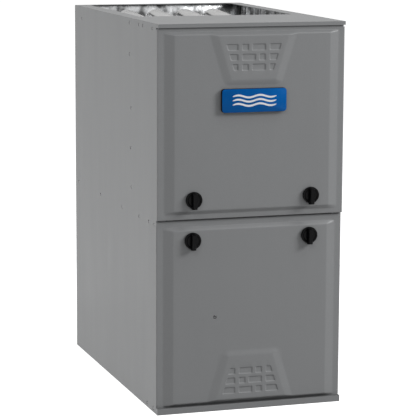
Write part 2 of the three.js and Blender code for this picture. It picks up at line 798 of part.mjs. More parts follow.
// The strip fills the front between the side flanges, and its leg lies on the shelf.
function midRail() {
  const half = HALF - FRONT_FLANGE - GAP;
  const legBottom = SHELF_TOP + GAP;
  return join(
    box(
      across(half),
      [CASE_SETBACK, CASE_FACE],
      [SHELF_TOP - MID_RAIL_DROP, SHELF_TOP + MID_RAIL_RISE],
    ),
    box(
      across(half),
      [CASE_SETBACK, CASE_FACE + MID_RAIL_REACH],
      [legBottom, legBottom + SHEET],
    ),
  );
}

function blowerDeck() {
  const skirt = [SHELF_TOP - SHELF_SKIRT, SHELF_TOP];
  const reach = [FITTED_FRONT, REAR - GAP];
  const sides = [-1, 1].map((side) =>
    box(sideSpan(side, INNER - SHEET, INNER), reach, skirt),
  );
  const rearSkirt = box(across(INNER), [REAR - GAP - SHEET, REAR - GAP], skirt);
  const [outletFront, outletRear] = scrollOutlet(SHEET);
  const opening = box(
    across(HOUSING_WIDTH / 2 - SHEET),
    [BLOWER_SETBACK + outletFront, BLOWER_SETBACK + outletRear],
    [SHELF_UNDERSIDE - OVERRUN, SHELF_TOP + OVERRUN],
  );
  const harnessHole = bore(
    "z",
    HARNESS_RADIUS,
    [SHELF_UNDERSIDE - OVERRUN, SHELF_TOP + OVERRUN],
    [HARNESS_X, HARNESS_Y, 0],
  );
  const shelf = box(across(INNER), reach, [SHELF_UNDERSIDE, SHELF_TOP]);
  return cut(join(shelf, rearSkirt, ...sides), opening, harnessHole);
}

function cellPanel() {
  const rise = [SHELF_TOP + GAP, DECK_UNDERSIDE - GAP];
  const hems = [-1, 1].map((side) =>
    box(sideSpan(side, INNER - SHEET, INNER), [PANEL_SETBACK - PANEL_HEM, PANEL_REAR], rise),
  );
  const through = [PANEL_SETBACK - OVERRUN, PANEL_REAR + OVERRUN];
  const tubeHoles = TUBE_PLACES.flatMap((x) => [
    bore("y", TUBE_RADIUS, through, [x, 0, BURNER_LINE]),
    bore("y", TUBE_RADIUS, through, [x, 0, OUTLET_LINE]),
  ]);
  const windows = gasWindows().map((z) => box(across(GAS_WINDOW_HALF), through, z));
  const panel = box(across(INNER), [PANEL_SETBACK, PANEL_REAR], rise);
  return cut(join(panel, ...hems), ...tubeHoles, ...windows);
}

// Hot gas enters the second coil above and leaves it below.
function gasWindows() {
  const bottom = SHELF_TOP + COIL_LIFT + COIL_MARGIN;
  const top = SHELF_TOP + COIL_LIFT + COIL_HEIGHT - COIL_MARGIN;
  return [
    [bottom + WINDOW_MARGIN, bottom + WINDOW_MARGIN + GAS_WINDOW],
    [top - WINDOW_MARGIN - GAS_WINDOW, top - WINDOW_MARGIN],
  ];
}

// ---------------------------------------------------------------- doors

function rectangle(half, bottom, top, y) {
  return [
    [-half, y, bottom],
    [half, y, bottom],
    [half, y, top],
    [-half, y, top],
  ];
}

// Heights on a door are counted from the narrow end of its raised grille panel.
function grilleHeight(door, distance) {
  const fieldTop = door.top - door.topBorder - door.topBevel;
  const fieldBottom = door.bottom + door.bottomBorder + door.bottomBevel;
  return door.grilleUp
    ? fieldTop - door.grilleLength + distance
    : fieldBottom + door.grilleLength - distance;
}

function grilleSection(door, near, far, sideBevel, y) {
  const halfAt = (distance) => GRILLE_HALF + GRILLE_FLARE * distance - sideBevel;
  return [
    [-halfAt(near), y, grilleHeight(door, near)],
    [halfAt(near), y, grilleHeight(door, near)],
    [halfAt(far), y, grilleHeight(door, far)],
    [-halfAt(far), y, grilleHeight(door, far)],
  ];
}

// The raised panel: its wide end keeps the slope of the field's bevel.
function grillePanel(door, inset) {
  const field = door.front - FIELD_RISE + inset;
  const slope = (door.grilleUp ? door.topBevel : door.bottomBevel) / FIELD_RISE;
  const thin = inset / 2;
  const far = door.grilleLength - GRILLE_STEP - thin;
  const foot = (y) => grilleSection(door, thin, far, thin, y);
  return loft([
    foot(field + BITE),
    foot(field),
    grilleSection(
      door,
      GRILLE_END_BEVEL + thin,
      far - slope * GRILLE_RISE,
      GRILLE_SIDE_BEVEL + thin,
      field - GRILLE_RISE,
    ),
  ]);
}

function fieldPanel(door, inset) {
  const border = door.front + inset;
  const thin = inset / 2;
  const bottom = door.bottom + door.bottomBorder + thin;
  const top = door.top - door.topBorder - thin;
  const half = HALF - SIDE_BORDER - thin;
  return loft([
    rectangle(half, bottom, top, border + BITE),
    rectangle(half, bottom, top, border),
    rectangle(
      half - SIDE_BEVEL,
      bottom + door.bottomBevel,
      top - door.topBevel,
      border - FIELD_RISE,
    ),
  ]);
}

// With no inset this is the outside of the pressing, and with one sheet it is the hollow behind it.
function doorForm(door, inset) {
  const half = HALF - inset;
  const front = door.front + inset;
  const rear = DOOR_REAR + inset;
  const slab = box(across(half), [front, rear], [door.bottom + inset, door.top - inset]);
  const notches = [-1, 1].map((side) =>
    box(
      sideSpan(side, half - NOTCH, half + OVERRUN),
      [front - OVERRUN, rear + OVERRUN],
      [door.notch[0] - inset, door.notch[1] + inset],
    ),
  );
  return join(cut(slab, ...notches), fieldPanel(door, inset), grillePanel(door, inset));
}

// Outlines of one row of pressed slots, as [x, z] corners, each grown by `grow`.
function slotRow(door, row, grow) {
  const middle = door.firstSlot + row * SLOT_PITCH;
  const half = SLOT_HEIGHT / 2 + grow;
  const near = middle - half;
  const far = middle + half;
  const edgeAt = (distance) => {
    const panelHalf = GRILLE_HALF + GRILLE_FLARE * distance - GRILLE_SIDE_BEVEL;
    return panelHalf - SLOT_MARGIN + grow;
  };
  const upright = (x0, x1) => [
    [x0 - grow, grilleHeight(door, near)],
    [x1 + grow, grilleHeight(door, near)],
    [x1 + grow, grilleHeight(door, far)],
    [x0 - grow, grilleHeight(door, far)],
  ];
  const inner = MIDDLE_HALF + SLOT_BRIDGE - grow;
  const outer = [-1, 1].map((side) => [
    [side * inner, grilleHeight(door, near)],
    [side * edgeAt(near), grilleHeight(door, near)],
    [side * edgeAt(far), grilleHeight(door, far)],
    [side * inner, grilleHeight(door, far)],
  ]);
  const long = 2 * MIDDLE_HALF - MIDDLE_BRIDGE - MIDDLE_SHORT;
  const shortOnLeft = (row % 2 === 0) === door.grilleUp;
  const first = shortOnLeft ? MIDDLE_SHORT : long;
  return [
    ...outer,
    upright(-MIDDLE_HALF, -MIDDLE_HALF + first),
    upright(-MIDDLE_HALF + first + MIDDLE_BRIDGE, MIDDLE_HALF),
  ];
}

function slotCutters(door, grow) {
  const face = door.front - FIELD_RISE - GRILLE_RISE;
  const rows = Array.from({ length: SLOT_ROWS }, (_, row) => slotRow(door, row, grow));
  return rows.flat().map((outline) =>
    plate("y", outline, [face - OVERRUN, face + SLOT_DEPTH + grow]),
  );
}

function doorShell(door, holes) {
  const hollow = cut(doorForm(door, SHEET), ...slotCutters(door, SHEET));
  const face = door.front - FIELD_RISE;
  const cutters = holes.map(({ x, z, radius }) =>
    bore("y", radius, [face - OVERRUN, face + SHEET + OVERRUN], [x, 0, z]),
  );
  return cut(doorForm(door, 0), hollow, ...slotCutters(door, 0), ...cutters);
}

function knobHoles(z) {
  return [-1, 1].map((side) => ({ x: side * KNOB_OFFSET, z, radius: KNOB_SHAFT_RADIUS }));
}

function badgePlate() {
  const [x, z] = [BADGE_WIDTH / 2, BADGE_HEIGHT / 2];
  const outline = new THREE.Shape();
  outline.moveTo(-x + BADGE_CORNER, -z);
  outline.lineTo(x - BADGE_CORNER, -z);
  outline.absarc(x - BADGE_CORNER, -z + BADGE_CORNER, BADGE_CORNER, -Math.PI / 2, 0);
  outline.absarc(x - BADGE_CORNER, z - BADGE_CORNER, BADGE_CORNER, 0, Math.PI / 2);
  outline.absarc(-x + BADGE_CORNER, z - BADGE_CORNER, BADGE_CORNER, Math.PI / 2, Math.PI);
  outline.absarc(-x + BADGE_CORNER, -z + BADGE_CORNER, BADGE_CORNER, Math.PI, 1.5 * Math.PI);
  const geometry = new THREE.ExtrudeGeometry(outline, {
    depth: BADGE_THICKNESS,
    bevelEnabled: false,
    curveSegments: 3,
  });
  geometry.rotateX(Math.PI / 2);
  return solidFrom(geometry);
}

function sightGlass() {
  const inside = SHEET + GAP;
  return turned(
    "y",
    [
      [0, -GAP],
      [SIGHT_RADIUS, -GAP],
      [SIGHT_RADIUS, inside],
      [SIGHT_FLANGE_RADIUS, inside],
      [SIGHT_FLANGE_RADIUS, inside + SIGHT_FLANGE],
      [0, inside + SIGHT_FLANGE],
    ],
    [0, 0, 0],
    16,
  );
}

// A knob about its own axis, with the door's face at y = 0 and the shaft reaching to `shaftEnd`.
function knob(shaftEnd) {
  const skirt = rod("y", KNOB_RADIUS, [-KNOB_SKIRT, -GAP], [0, 0, 0]);
  const half = GRIP_WIDTH / 2;
  const section = (y, taper) => [
    [-half + taper, y, -GRIP_DOWN + taper],
    [half - taper, y, -GRIP_DOWN + taper],
    [half - taper, y, GRIP_UP - taper],
    [-half + taper, y, GRIP_UP - taper],
  ];
  const grip = loft([section(-KNOB_SKIRT + OVERRUN, 0), section(-KNOB_REACH, GRIP_TAPER)]);
  const shaft = rod("y", KNOB_SHAFT_RADIUS, [-OVERRUN, shaftEnd], [0, 0, 0]);
  return join(skirt, grip, shaft);
}

// The latch tongue points to the middle of the cabinet while the knob is released.
function tongue(side, front) {
  const x = side < 0 ? [-TONGUE_TAIL, TONGUE_LENGTH] : [-TONGUE_LENGTH, TONGUE_TAIL];
  return box(x, [front, front + TONGUE_THICKNESS], across(TONGUE_WIDTH / 2));
}

function latch(level, side, face, height) {
  const front = CASE_FACE + TONGUE_CLEARANCE - face;
  const name = `${level}_${side < 0 ? "left" : "right"}`;
  return group(
    [
      piece(`${name}_knob`, knob(front - GAP), BLACK_PLASTIC),
      piece(`${name}_tongue`, tongue(side, front), GALVANISED),
    ],
    [side * KNOB_OFFSET, face, height],
  );
}

function upperDoor() {
  const badgePlace = [0, UPPER_FIELD - GAP, HEIGHT - BADGE_DROP];
  return group([
    piece("upper_door", doorShell(UPPER_DOOR, knobHoles(UPPER_KNOB_LINE)), PAINT),
    piece("badge_plate", badgePlate(), BADGE_BLUE, badgePlace),
    latch("upper", -1, UPPER_FIELD, UPPER_KNOB_LINE),
    latch("upper", 1, UPPER_FIELD, UPPER_KNOB_LINE),
  ]);
}

function lowerDoor() {
  const sight = { x: -SIGHT_OFFSET, z: SEAM_HEIGHT - SIGHT_DROP, radius: SIGHT_RADIUS };
  const holes = [...knobHoles(LOWER_KNOB_LINE), sight];
  return group([
    piece("lower_door", doorShell(LOWER_DOOR, holes), PAINT),
    piece("sight_glass", sightGlass(), CLEAR, [sight.x, LOWER_FIELD, sight.z]),
    latch("lower", -1, LOWER_FIELD, LOWER_KNOB_LINE),
    latch("lower", 1, LOWER_FIELD, LOWER_KNOB_LINE),
  ]);
}

// ---------------------------------------------------------------- blower

// Radius of the scroll's wall at `angle` past the top, turning forwards.
function scrollRadius(angle) {
  const share = angle / (1.5 * Math.PI);
  return WHEEL_RADIUS + SCROLL_START + (SCROLL_END - SCROLL_START) * share;
}

// Outlet's front and rear, from the wheel's axis, pulled in by `inset`.
function scrollOutlet(inset) {
  return [-CUTOFF_LEAD + inset, scrollRadius(1.5 * Math.PI) - inset];
}

// The scroll's outline in [y, z] about the wheel's axis, open to `top`.
function scrollOutline(inset, top) {
  const [front, rear] = scrollOutlet(inset);
  const cutoff = Math.asin(-front / (WHEEL_RADIUS + SCROLL_START - inset));
  const outline = [[front, top]];
  for (let k = 0; k <= SCROLL_STEPS; k += 1) {
    const angle = cutoff + ((1.5 * Math.PI - cutoff) * k) / SCROLL_STEPS;
    const radius = scrollRadius(angle) - inset;
    outline.push([-radius * Math.sin(angle), radius * Math.cos(angle)]);
  }
  outline.push([rear, top]);
  return outline;
}

function blowerHousing() {
  const half = HOUSING_WIDTH / 2;
  const top = BLOWER_DROP - SHEET - GAP;
  const outside = plate("x", scrollOutline(0, top), across(half));
  const inside = plate("x", scrollOutline(SHEET, top + OVERRUN), across(half - SHEET));
  const [front, rear] = scrollOutlet(0);
  const flange = box(
    across(half + HOUSING_FLANGE),
    [front - HOUSING_FLANGE, rear + HOUSING_FLANGE],
    [top - SHEET, top],
  );
  const inlets = rod("x", INLET_RADIUS, across(half + OVERRUN), [0, 0, 0], 28);
  return cut(join(outside, flange), inside, inlets);
}

function bladeAt(index) {
  const angle = (2 * Math.PI * index) / WHEEL_BLADES;
  const geometry = new THREE.BoxGeometry(WHEEL_WIDTH - WHEEL_RING, BLADE_THICKNESS, BLADE_DEPTH);
  geometry.rotateX(BLADE_LEAN);
  geometry.translate(0, 0, WHEEL_RADIUS - BLADE_DEPTH / 2 - BLADE_THICKNESS / 2);
  geometry.rotateX(angle);
  return solidFrom(geometry);
}

function blowerWheel() {
  const half = WHEEL_WIDTH / 2;
  const origin = [0, 0, 0];
  const ringInner = WHEEL_RADIUS - BLADE_DEPTH - WHEEL_RING;
  const ring = (span) =>
    cut(
      rod("x", WHEEL_RADIUS, span, origin, WHEEL_BLADES),
      rod("x", ringInner, [span[0] - OVERRUN, span[1] + OVERRUN], origin, WHEEL_BLADES),
    );
  const disc = [-WHEEL_DISC_OFFSET - WHEEL_DISC, -WHEEL_DISC_OFFSET];
  const hub = [disc[0] - HUB_LENGTH / 2, disc[1] + HUB_LENGTH / 2];
  const blades = Array.from({ length: WHEEL_BLADES }, (_, k) => bladeAt(k));
  const whole = join(
    ring([-half, -half + WHEEL_RING]),
    ring([half - WHEEL_RING, half]),
    rod("x", WHEEL_RADIUS - BLADE_DEPTH / 2, disc, origin, WHEEL_BLADES),
    rod("x", HUB_RADIUS, hub, origin, 12),
    ...blades,
  );
  return cut(whole, bore("x", SHAFT_RADIUS, [-half, half], origin, 12));
}

function motorEnds() {
  const outer = HOUSING_WIDTH / 2 + MOTOR_OVERHANG;
  return [outer - MOTOR_LENGTH, outer];
}

function blowerMotor() {
  const [inner, outer] = motorEnds();
  return turned(
    "x",
    [
      [0, inner],
      [MOTOR_RADIUS - MOTOR_SHOULDER, inner],
      [MOTOR_RADIUS, inner + MOTOR_NECK],
      [MOTOR_RADIUS, outer - MOTOR_NECK],
      [MOTOR_RADIUS - MOTOR_SHOULDER, outer],
      [0, outer],
    ],
    [0, 0, 0],
    24,
  );
}

function blowerShaft() {
  const [inner] = motorEnds();
  const start = -WHEEL_DISC_OFFSET - WHEEL_DISC - HUB_LENGTH / 2;
  return rod("x", SHAFT_RADIUS, [start, inner - GAP], [0, 0, 0], 12);
}

// A band clamped round the motor, with legs bent out over the housing's side.
function motorMount() {
  const face = HOUSING_WIDTH / 2 + GAP;
  const bandOuter = MOTOR_RADIUS + GAP + LEG_THICKNESS;
  const band = [face - MOTOR_BAND, face - LEG_THICKNESS];
  const origin = [0, 0, 0];
  const sleeve = cut(
    rod("x", bandOuter, band, origin, 24),
    bore("x", MOTOR_RADIUS, [band[0] - OVERRUN, band[1] + OVERRUN], origin, 24),
  );
  const legs = Array.from({ length: MOTOR_LEGS }, (_, k) => {
    const reach = INLET_RADIUS + LEG_REACH - MOTOR_RADIUS - GAP;
    const bridge = new THREE.BoxGeometry(MOTOR_BAND + LEG_THICKNESS, LEG_WIDTH, LEG_THICKNESS);
    bridge.translate(face - MOTOR_BAND / 2 + LEG_THICKNESS / 2, 0, bandOuter);
    const foot = new THREE.BoxGeometry(LEG_THICKNESS, LEG_WIDTH, reach - LEG_THICKNESS);
    foot.translate(face + LEG_THICKNESS / 2, 0, bandOuter + (reach - LEG_THICKNESS) / 2);
    const turn = (2 * Math.PI * k) / MOTOR_LEGS;
    return join(solidFrom(bridge.rotateX(turn)), solidFrom(foot.rotateX(turn)));
  });
  return join(sleeve, ...legs);
}

function blower() {
  return group(
    [
      piece("blower_housing", blowerHousing(), GALVANISED),
      piece("blower_wheel", blowerWheel(), GALVANISED),
      piece("blower_shaft", blowerShaft(), STAINLESS),
      piece("blower_motor", blowerMotor(), BLACK_STEEL),
      piece("motor_mount", motorMount(), GALVANISED),
    ],
    [0, BLOWER_SETBACK, BLOWER_LINE],
  );
}

// ---------------------------------------------------------------- heat exchangers

// One tube in its own frame: y to the rear from the panel's middle, z up from the burner line.
function serpentine() {
  const stub = -TUBE_STUB - SHEET / 2;
  const front = FRONT_BEND - SHEET / 2 - TUBE_BEND;
  const rear = REAR_BEND - SHEET / 2 + TUBE_BEND;
  const corners = [[0, stub, 0]];
  for (let pass = 1; pass < TUBE_PASSES; pass += 1) {
    const y = pass % 2 === 1 ? rear : front;
    corners.push([0, y, -2 * TUBE_BEND * (pass - 1)]);
    corners.push([0, y, -2 * TUBE_BEND * pass]);
  }
  const lean = TUBE_SPAN * Math.tan(TUBE_TILT);
  corners.push([0, stub - lean, -TUBE_SPAN]);
  return tube(bentPath(corners, TUBE_BEND), TUBE_RADIUS, TUBE_RADIUS - TUBE_WALL);
}

function exchangerTubes() {
  return TUBE_PLACES.map((x, i) => {
    const place = [x, PANEL_SETBACK + SHEET / 2, BURNER_LINE];
    const mesh = piece(`exchanger_tube_${i + 1}`, serpentine(), ALUMINISED, place);
    mesh.rotation.x = TUBE_TILT;
    return mesh;
  });
}

function couplingBox() {
  return tray(
    across(COUPLING_HALF),
    [PANEL_FACE - COUPLING_DEPTH, PANEL_FACE],
    [COLLECTOR_TOP + BOX_SEAM, OUTLET_LINE + COUPLING_RISE],
    "+y",
  );
}

// Fin plates between two side plates, threaded on tubes that start at an open header.
function secondaryCoil() {
  const bottom = SHELF_TOP + COIL_LIFT;
  const top = bottom + COIL_HEIGHT;
  const start = PANEL_REAR + GAP;
  const headerEnd = start + HEADER_LENGTH;
  const end = start + COIL_LENGTH;
  const pitch = (COIL_LENGTH - HEADER_LENGTH - COIL_FIN) / (COIL_FINS - 1);
  const fins = Array.from({ length: COIL_FINS }, (_, k) => {
    const y = headerEnd + k * pitch;
    return box(across(COIL_HALF), [y, y + COIL_FIN], [bottom, top]);
  });
  const sides = [-1, 1].map((side) =>
    box(sideSpan(side, COIL_HALF - COIL_FIN, COIL_HALF), [headerEnd, end], [bottom, top]),
  );
  const tubes = spread(COIL_TUBE_ROWS, COIL_TUBE_PITCH).flatMap((x) =>
    spread(COIL_TUBE_ROWS, COIL_HEIGHT / 2).map((z) =>
      rod("y", COIL_TUBE_RADIUS, [headerEnd - BITE, end - BITE], [x, 0, (bottom + top) / 2 + z], 6),
    ),
  );
  const header = tray(
    across(HEADER_HALF),
    [start, headerEnd + BITE],
    [bottom + COIL_MARGIN, top - COIL_MARGIN],
    "-y",
  );
  return join(header, ...fins, ...sides, ...tubes);
}

function condensateCollector() {
  const shell = tray(
    across(HEADER_HALF),
    [COLLECTOR_FRONT, PANEL_FACE],
    [COLLECTOR_BOTTOM, COLLECTOR_TOP],
    "+y",
  );
  const span = [COLLECTOR_FRONT - OVERRUN, COLLECTOR_FRONT + SHEET + OVERRUN];
  return cut(shell, rod("y", INDUCER_EYE, span, [0, 0, INDUCER_LINE]));
}

function trapRib([left, right], rear, z) {
  return box(
    [left - TRAP_RIB, right + TRAP_RIB],
    [rear - TRAP_DEPTH - TRAP_RIB, rear],
    [z - TRAP_RIB / 2, z + TRAP_RIB / 2],
  );
}

function condensateTrap() {
  const rear = COLLECTOR_FRONT - GAP;
  const bottom = COLLECTOR_BOTTOM + GAP;
  const x = [TRAP_OFFSET - TRAP_WIDTH / 2, TRAP_OFFSET + TRAP_WIDTH / 2];
  const pitch = TRAP_HEIGHT / (TRAP_RIBS + 1);
  const ribs = Array.from({ length: TRAP_RIBS }, (_, k) => {
    const z = bottom + pitch * (k + 1);
    return trapRib(x, rear, z);
  });
  const spout = rod(
    "z",
    SMALL_TUBE_RADIUS * 2,
    [bottom + TRAP_HEIGHT - BITE, bottom + TRAP_HEIGHT + TRAP_DEPTH / 4],
    [TRAP_OFFSET, rear - TRAP_DEPTH / 2, 0],
    12,
  );
  return join(box(x, [rear - TRAP_DEPTH, rear], [bottom, bottom + TRAP_HEIGHT]), spout, ...ribs);
}

// ---------------------------------------------------------------- draught inducer

function inducerShape(inset, top) {
  const span = [INDUCER_FRONT + inset, INDUCER_REAR - inset];
  const centre = [0, 0, INDUCER_LINE];
  return join(
    rod("y", INDUCER_RADIUS - inset, span, centre, 28),
    box([VENT_X - VENT_RADIUS + inset, INDUCER_RADIUS - inset], span, [INDUCER_LINE, top]),
  );
}

function inducerHousing() {
  const top = INDUCER_LINE + OUTLET_RISE;
  const centre = [0, 0, INDUCER_LINE];
  const eye = rod(
    "y",
    INDUCER_EYE,
    [INDUCER_REAR - INDUCER_WALL - OVERRUN, INDUCER_REAR + OVERRUN],
    centre,
  );
  const shaftHole = bore(
    "y",
    INDUCER_SHAFT_RADIUS,
    [INDUCER_FRONT - OVERRUN, INDUCER_FRONT + INDUCER_WALL + OVERRUN],
    centre,
  );
  return cut(inducerShape(0, top), inducerShape(INDUCER_WALL, top + OVERRUN), eye, shaftHole);
}

function inducerWheel() {
  const front = INDUCER_FRONT + INDUCER_WALL + INDUCER_WALL;
  const disc = [front, front + INDUCER_WALL];
  const origin = [0, 0, 0];
  const blades = Array.from({ length: INDUCER_BLADES }, (_, k) => {
    const depth = INDUCER_WHEEL_RADIUS / 2;
    const geometry = new THREE.BoxGeometry(INDUCER_WALL, INDUCER_WHEEL_DEPTH, depth);
    const lift = INDUCER_WHEEL_RADIUS - depth / 2 - INDUCER_WALL;
    geometry.translate(0, front + INDUCER_WHEEL_DEPTH / 2, lift);
    return solidFrom(geometry.rotateY((2 * Math.PI * k) / INDUCER_BLADES));
  });
  const shaft = rod(
    "y",
    INDUCER_SHAFT_RADIUS,
    [INDUCER_FRONT, front + OVERRUN],
    origin,
    12,
  );
  return join(rod("y", INDUCER_WHEEL_RADIUS, disc, origin), shaft, ...blades);
}

function inducerMotor() {
  const rear = INDUCER_FRONT - GAP;
  const cap = INDUCER_MOTOR_LENGTH / 5;
  const front = rear - INDUCER_MOTOR_LENGTH;
  return turned(
    "y",
    [
      [0, front],
      [INDUCER_MOTOR_RADIUS * MOTOR_NOSE, front],
      [INDUCER_MOTOR_RADIUS, front + cap],
      [INDUCER_MOTOR_RADIUS, rear - cap],
      [INDUCER_MOTOR_RADIUS * MOTOR_TAIL, rear],
      [0, rear],
    ],
    [0, 0, 0],
  );
}

function ventPipe() {
  const corners = [
    [VENT_X, VENT_Y, VENT_FOOT],
    [VENT_X, VENT_Y, VENT_LINE],
    [HALF, VENT_Y, VENT_LINE],
  ];
  return tube(bentPath(corners, VENT_BEND, 3), VENT_RADIUS, VENT_RADIUS - VENT_WALL, 20, 12);
}

function inducer() {
  const line = [0, 0, INDUCER_LINE];
  return group([
    piece("inducer_housing", inducerHousing(), BLACK_PLASTIC),
    piece("inducer_wheel", inducerWheel(), GREY_PLASTIC, line),
    piece("inducer_motor", inducerMotor(), BLACK_STEEL, line),
    piece("vent_pipe", ventPipe(), WHITE_PLASTIC),
  ]);
}

// ---------------------------------------------------------------- gas train

// A burner about its own axis: a mouth, a throat and a head, open from end to end.
function burner() {
  const bell = BURNER_LENGTH * THROAT_PLACE;
  const spreadEnd = BURNER_LENGTH * HEAD_PLACE;
  const outside = [
    [BURNER_MOUTH, 0],
    [BURNER_THROAT, bell],
    [BURNER_HEAD, spreadEnd],
    [BURNER_HEAD, BURNER_LENGTH],
  ];
  const inside = outside.map(([radius, along]) => [radius - BURNER_WALL, along]).reverse();
  return turned("y", [...outside, ...inside, outside[0]], [0, 0, 0], 12);
}

function burners() {
  return TUBE_PLACES.map((x, i) =>
    piece(`burner_${i + 1}`, burner(), ALUMINISED, [x, BURNER_FRONT, BURNER_LINE]),
  );
}

// A channel across the panel that carries the burners, with two tabs that carry the manifold.
function burnerRack() {
  const rise = [BURNER_LINE - RACK_RISE, BURNER_LINE + RACK_RISE];
  const span = [RACK_FRONT - OVERRUN, RACK_FRONT + SHEET + OVERRUN];
  const channel = join(
    box(across(RACK_HALF), [RACK_FRONT, RACK_FRONT + SHEET], rise),
    box(across(RACK_HALF), [RACK_FRONT, PANEL_FACE], [rise[0], rise[0] + SHEET]),
    box(across(RACK_HALF), [RACK_FRONT, PANEL_FACE], [rise[1] - SHEET, rise[1]]),
  );
  const tabs = [-1, 1].map((side) =>
    box(
      sideSpan(side, PROBE_OFFSET - SHEET, PROBE_OFFSET + SHEET),
      [MANIFOLD_Y + MANIFOLD_RADIUS + GAP, RACK_FRONT + BITE],
      [BURNER_LINE - MANIFOLD_RADIUS / 2, BURNER_LINE + MANIFOLD_RADIUS],
    ),
  );
  const burnerHoles = TUBE_PLACES.map((x) =>
    bore("y", BURNER_HEAD, span, [x, 0, BURNER_LINE], 12),
  );
  const probeHoles = [-1, 1].map((side) =>
    rod("y", 2 * PROBE_ROD_RADIUS, span, [side * PROBE_OFFSET, 0, BURNER_LINE - PROBE_DROP], 12),
  );
  return cut(join(channel, ...tabs), ...burnerHoles, ...probeHoles);
}

function gasManifold() {
  const corners = [
    [VALVE_OFFSET, MANIFOLD_Y, VALVE_TOP + GAP],
    [VALVE_OFFSET, MANIFOLD_Y, BURNER_LINE],
    [-MANIFOLD_END, MANIFOLD_Y, BURNER_LINE],
  ];
  const pipe = tube(bentPath(corners, MANIFOLD_BEND, 3), MANIFOLD_RADIUS, 0);
  const spuds = TUBE_PLACES.map((x) =>
    rod("y", SPUD_RADIUS, [MANIFOLD_Y, SPUD_TIP], [x, 0, BURNER_LINE], 8),
  );
  return join(pipe, ...spuds);
}

function gasValve() {
  const x = [VALVE_OFFSET - VALVE_WIDTH / 2, VALVE_OFFSET + VALVE_WIDTH / 2];
  const y = [MANIFOLD_Y - VALVE_DEPTH / 2, MANIFOLD_Y + VALVE_DEPTH / 2];
  const boss = rod(
    "x",
    VALVE_BOSS_RADIUS,
    [x[1] - BITE, x[1] + VALVE_BOSS],
    [0, MANIFOLD_Y, VALVE_MIDDLE],
    16,
  );
  const tower = rod(
    "z",
    VALVE_TOWER_RADIUS,
    [VALVE_TOP - BITE, VALVE_TOP + VALVE_TOWER],
    [x[0] + VALVE_BOSS_RADIUS, y[0] + VALVE_BOSS_RADIUS, 0],
    12,
  );
  return join(box(x, y, [VALVE_TOP - VALVE_HEIGHT, VALVE_TOP]), boss, tower);
}

function gasValveKnob() {
  const skirt = rod("y", GAS_KNOB_RADIUS, [-GAS_KNOB_LENGTH / 2, -GAP], [0, 0, 0], 16);
  const grip = box(
    across(GAS_KNOB_RADIUS / 4),
    [-GAS_KNOB_LENGTH, -GAP - BITE],
    across(GAS_KNOB_RADIUS * GAS_GRIP),
  );
  return join(skirt, grip);
}

// A ceramic body ahead of the rack, with a thin rod that passes through it.
function probe() {
  return turned(
    "y",
    [
      [0, -GAP - PROBE_BODY],
      [PROBE_BODY_RADIUS, -GAP - PROBE_BODY],
      [PROBE_BODY_RADIUS, -GAP],
      [PROBE_ROD_RADIUS, -GAP],
      [PROBE_ROD_RADIUS, PROBE_ROD],
      [0, PROBE_ROD],
    ],
    [0, 0, 0],
    10,
  );
}

function discSwitch() {
  return turned(
    "y",
    [
      [0, -SWITCH_BODY],
      [SWITCH_RADIUS * SWITCH_NECK, -SWITCH_BODY],
      [SWITCH_RADIUS * SWITCH_NECK, -SWITCH_BODY / 2],
      [SWITCH_RADIUS, -SWITCH_BODY / 2],
      [SWITCH_RADIUS, -GAP],
      [0, -GAP],
    ],
    [0, 0, 0],
    12,
  );
}

function gasTrain() {
  const probeLine = BURNER_LINE - PROBE_DROP;
  const valveFace = MANIFOLD_Y - VALVE_DEPTH / 2;
  const limitPlace = [0, PANEL_SETBACK, (BURNER_LINE + OUTLET_LINE) / 2];
  return group([
    ...burners(),
    piece("burner_rack", burnerRack(), GALVANISED),
    piece("gas_manifold", gasManifold(), PIPE_STEEL),
    piece("gas_valve", gasValve(), CAST_ALUMINIUM),
    piece("gas_valve_knob", gasValveKnob(), BLACK_PLASTIC, [VALVE_OFFSET, valveFace, VALVE_MIDDLE]),
    piece("igniter", probe(), CERAMIC, [-PROBE_OFFSET, RACK_FRONT, probeLine]),
    piece("flame_sensor", probe(), CERAMIC, [PROBE_OFFSET, RACK_FRONT, probeLine]),
    piece("rollout_switch", discSwitch(), STAINLESS, [0, RACK_FRONT, BURNER_LINE + SWITCH_RISE]),
    piece("limit_switch", discSwitch(), STAINLESS, limitPlace),
  ]);
}

function pressureSwitch() {
  const rim = PRESSURE_DEPTH / 3;
  const nipple = rod(
    "z",
    SMALL_TUBE_RADIUS,
    [-PRESSURE_RADIUS - SMALL_TUBE_RADIUS, -PRESSURE_RADIUS + SMALL_TUBE_RADIUS],
    [PRESSURE_DEPTH / 2, 0, 0],
    10,
  );
  const shell = turned(
    "x",
    [
      [0, 0],
      [PRESSURE_RADIUS * PRESSURE_REAR, 0],
      [PRESSURE_RADIUS, rim],
      [PRESSURE_RADIUS, 2 * rim],
      [PRESSURE_RADIUS * PRESSURE_FRONT, PRESSURE_DEPTH],
      [0, PRESSURE_DEPTH],
    ],
    [0, 0, 0],
  );
  return join(shell, nipple);
}

function pressureTube() {
  const x = -INNER + PRESSURE_DEPTH / 2;
  const start = PRESSURE_HEIGHT - PRESSURE_RADIUS - SMALL_TUBE_RADIUS - GAP;
  const port = -(INDUCER_RADIUS + HEADER_HALF) / 2;
  const corners = [
    [x, PRESSURE_SETBACK, start],
    [x, PRESSURE_SETBACK, INDUCER_LINE],
    [port, PRESSURE_SETBACK, INDUCER_LINE],
    [port, COLLECTOR_FRONT - GAP, INDUCER_LINE],
  ];
  return tube(bentPath(corners, SMALL_TUBE_BEND), SMALL_TUBE_RADIUS, 0, 8);
}

function pressureSensing() {
  const place = [-INNER, PRESSURE_SETBACK, PRESSURE_HEIGHT];
  return group([
    piece("pressure_switch", pressureSwitch(), GREY_PLASTIC, place),
    piece("pressure_tube", pressureTube(), RUBBER),
  ]);
}

// ---------------------------------------------------------------- controls

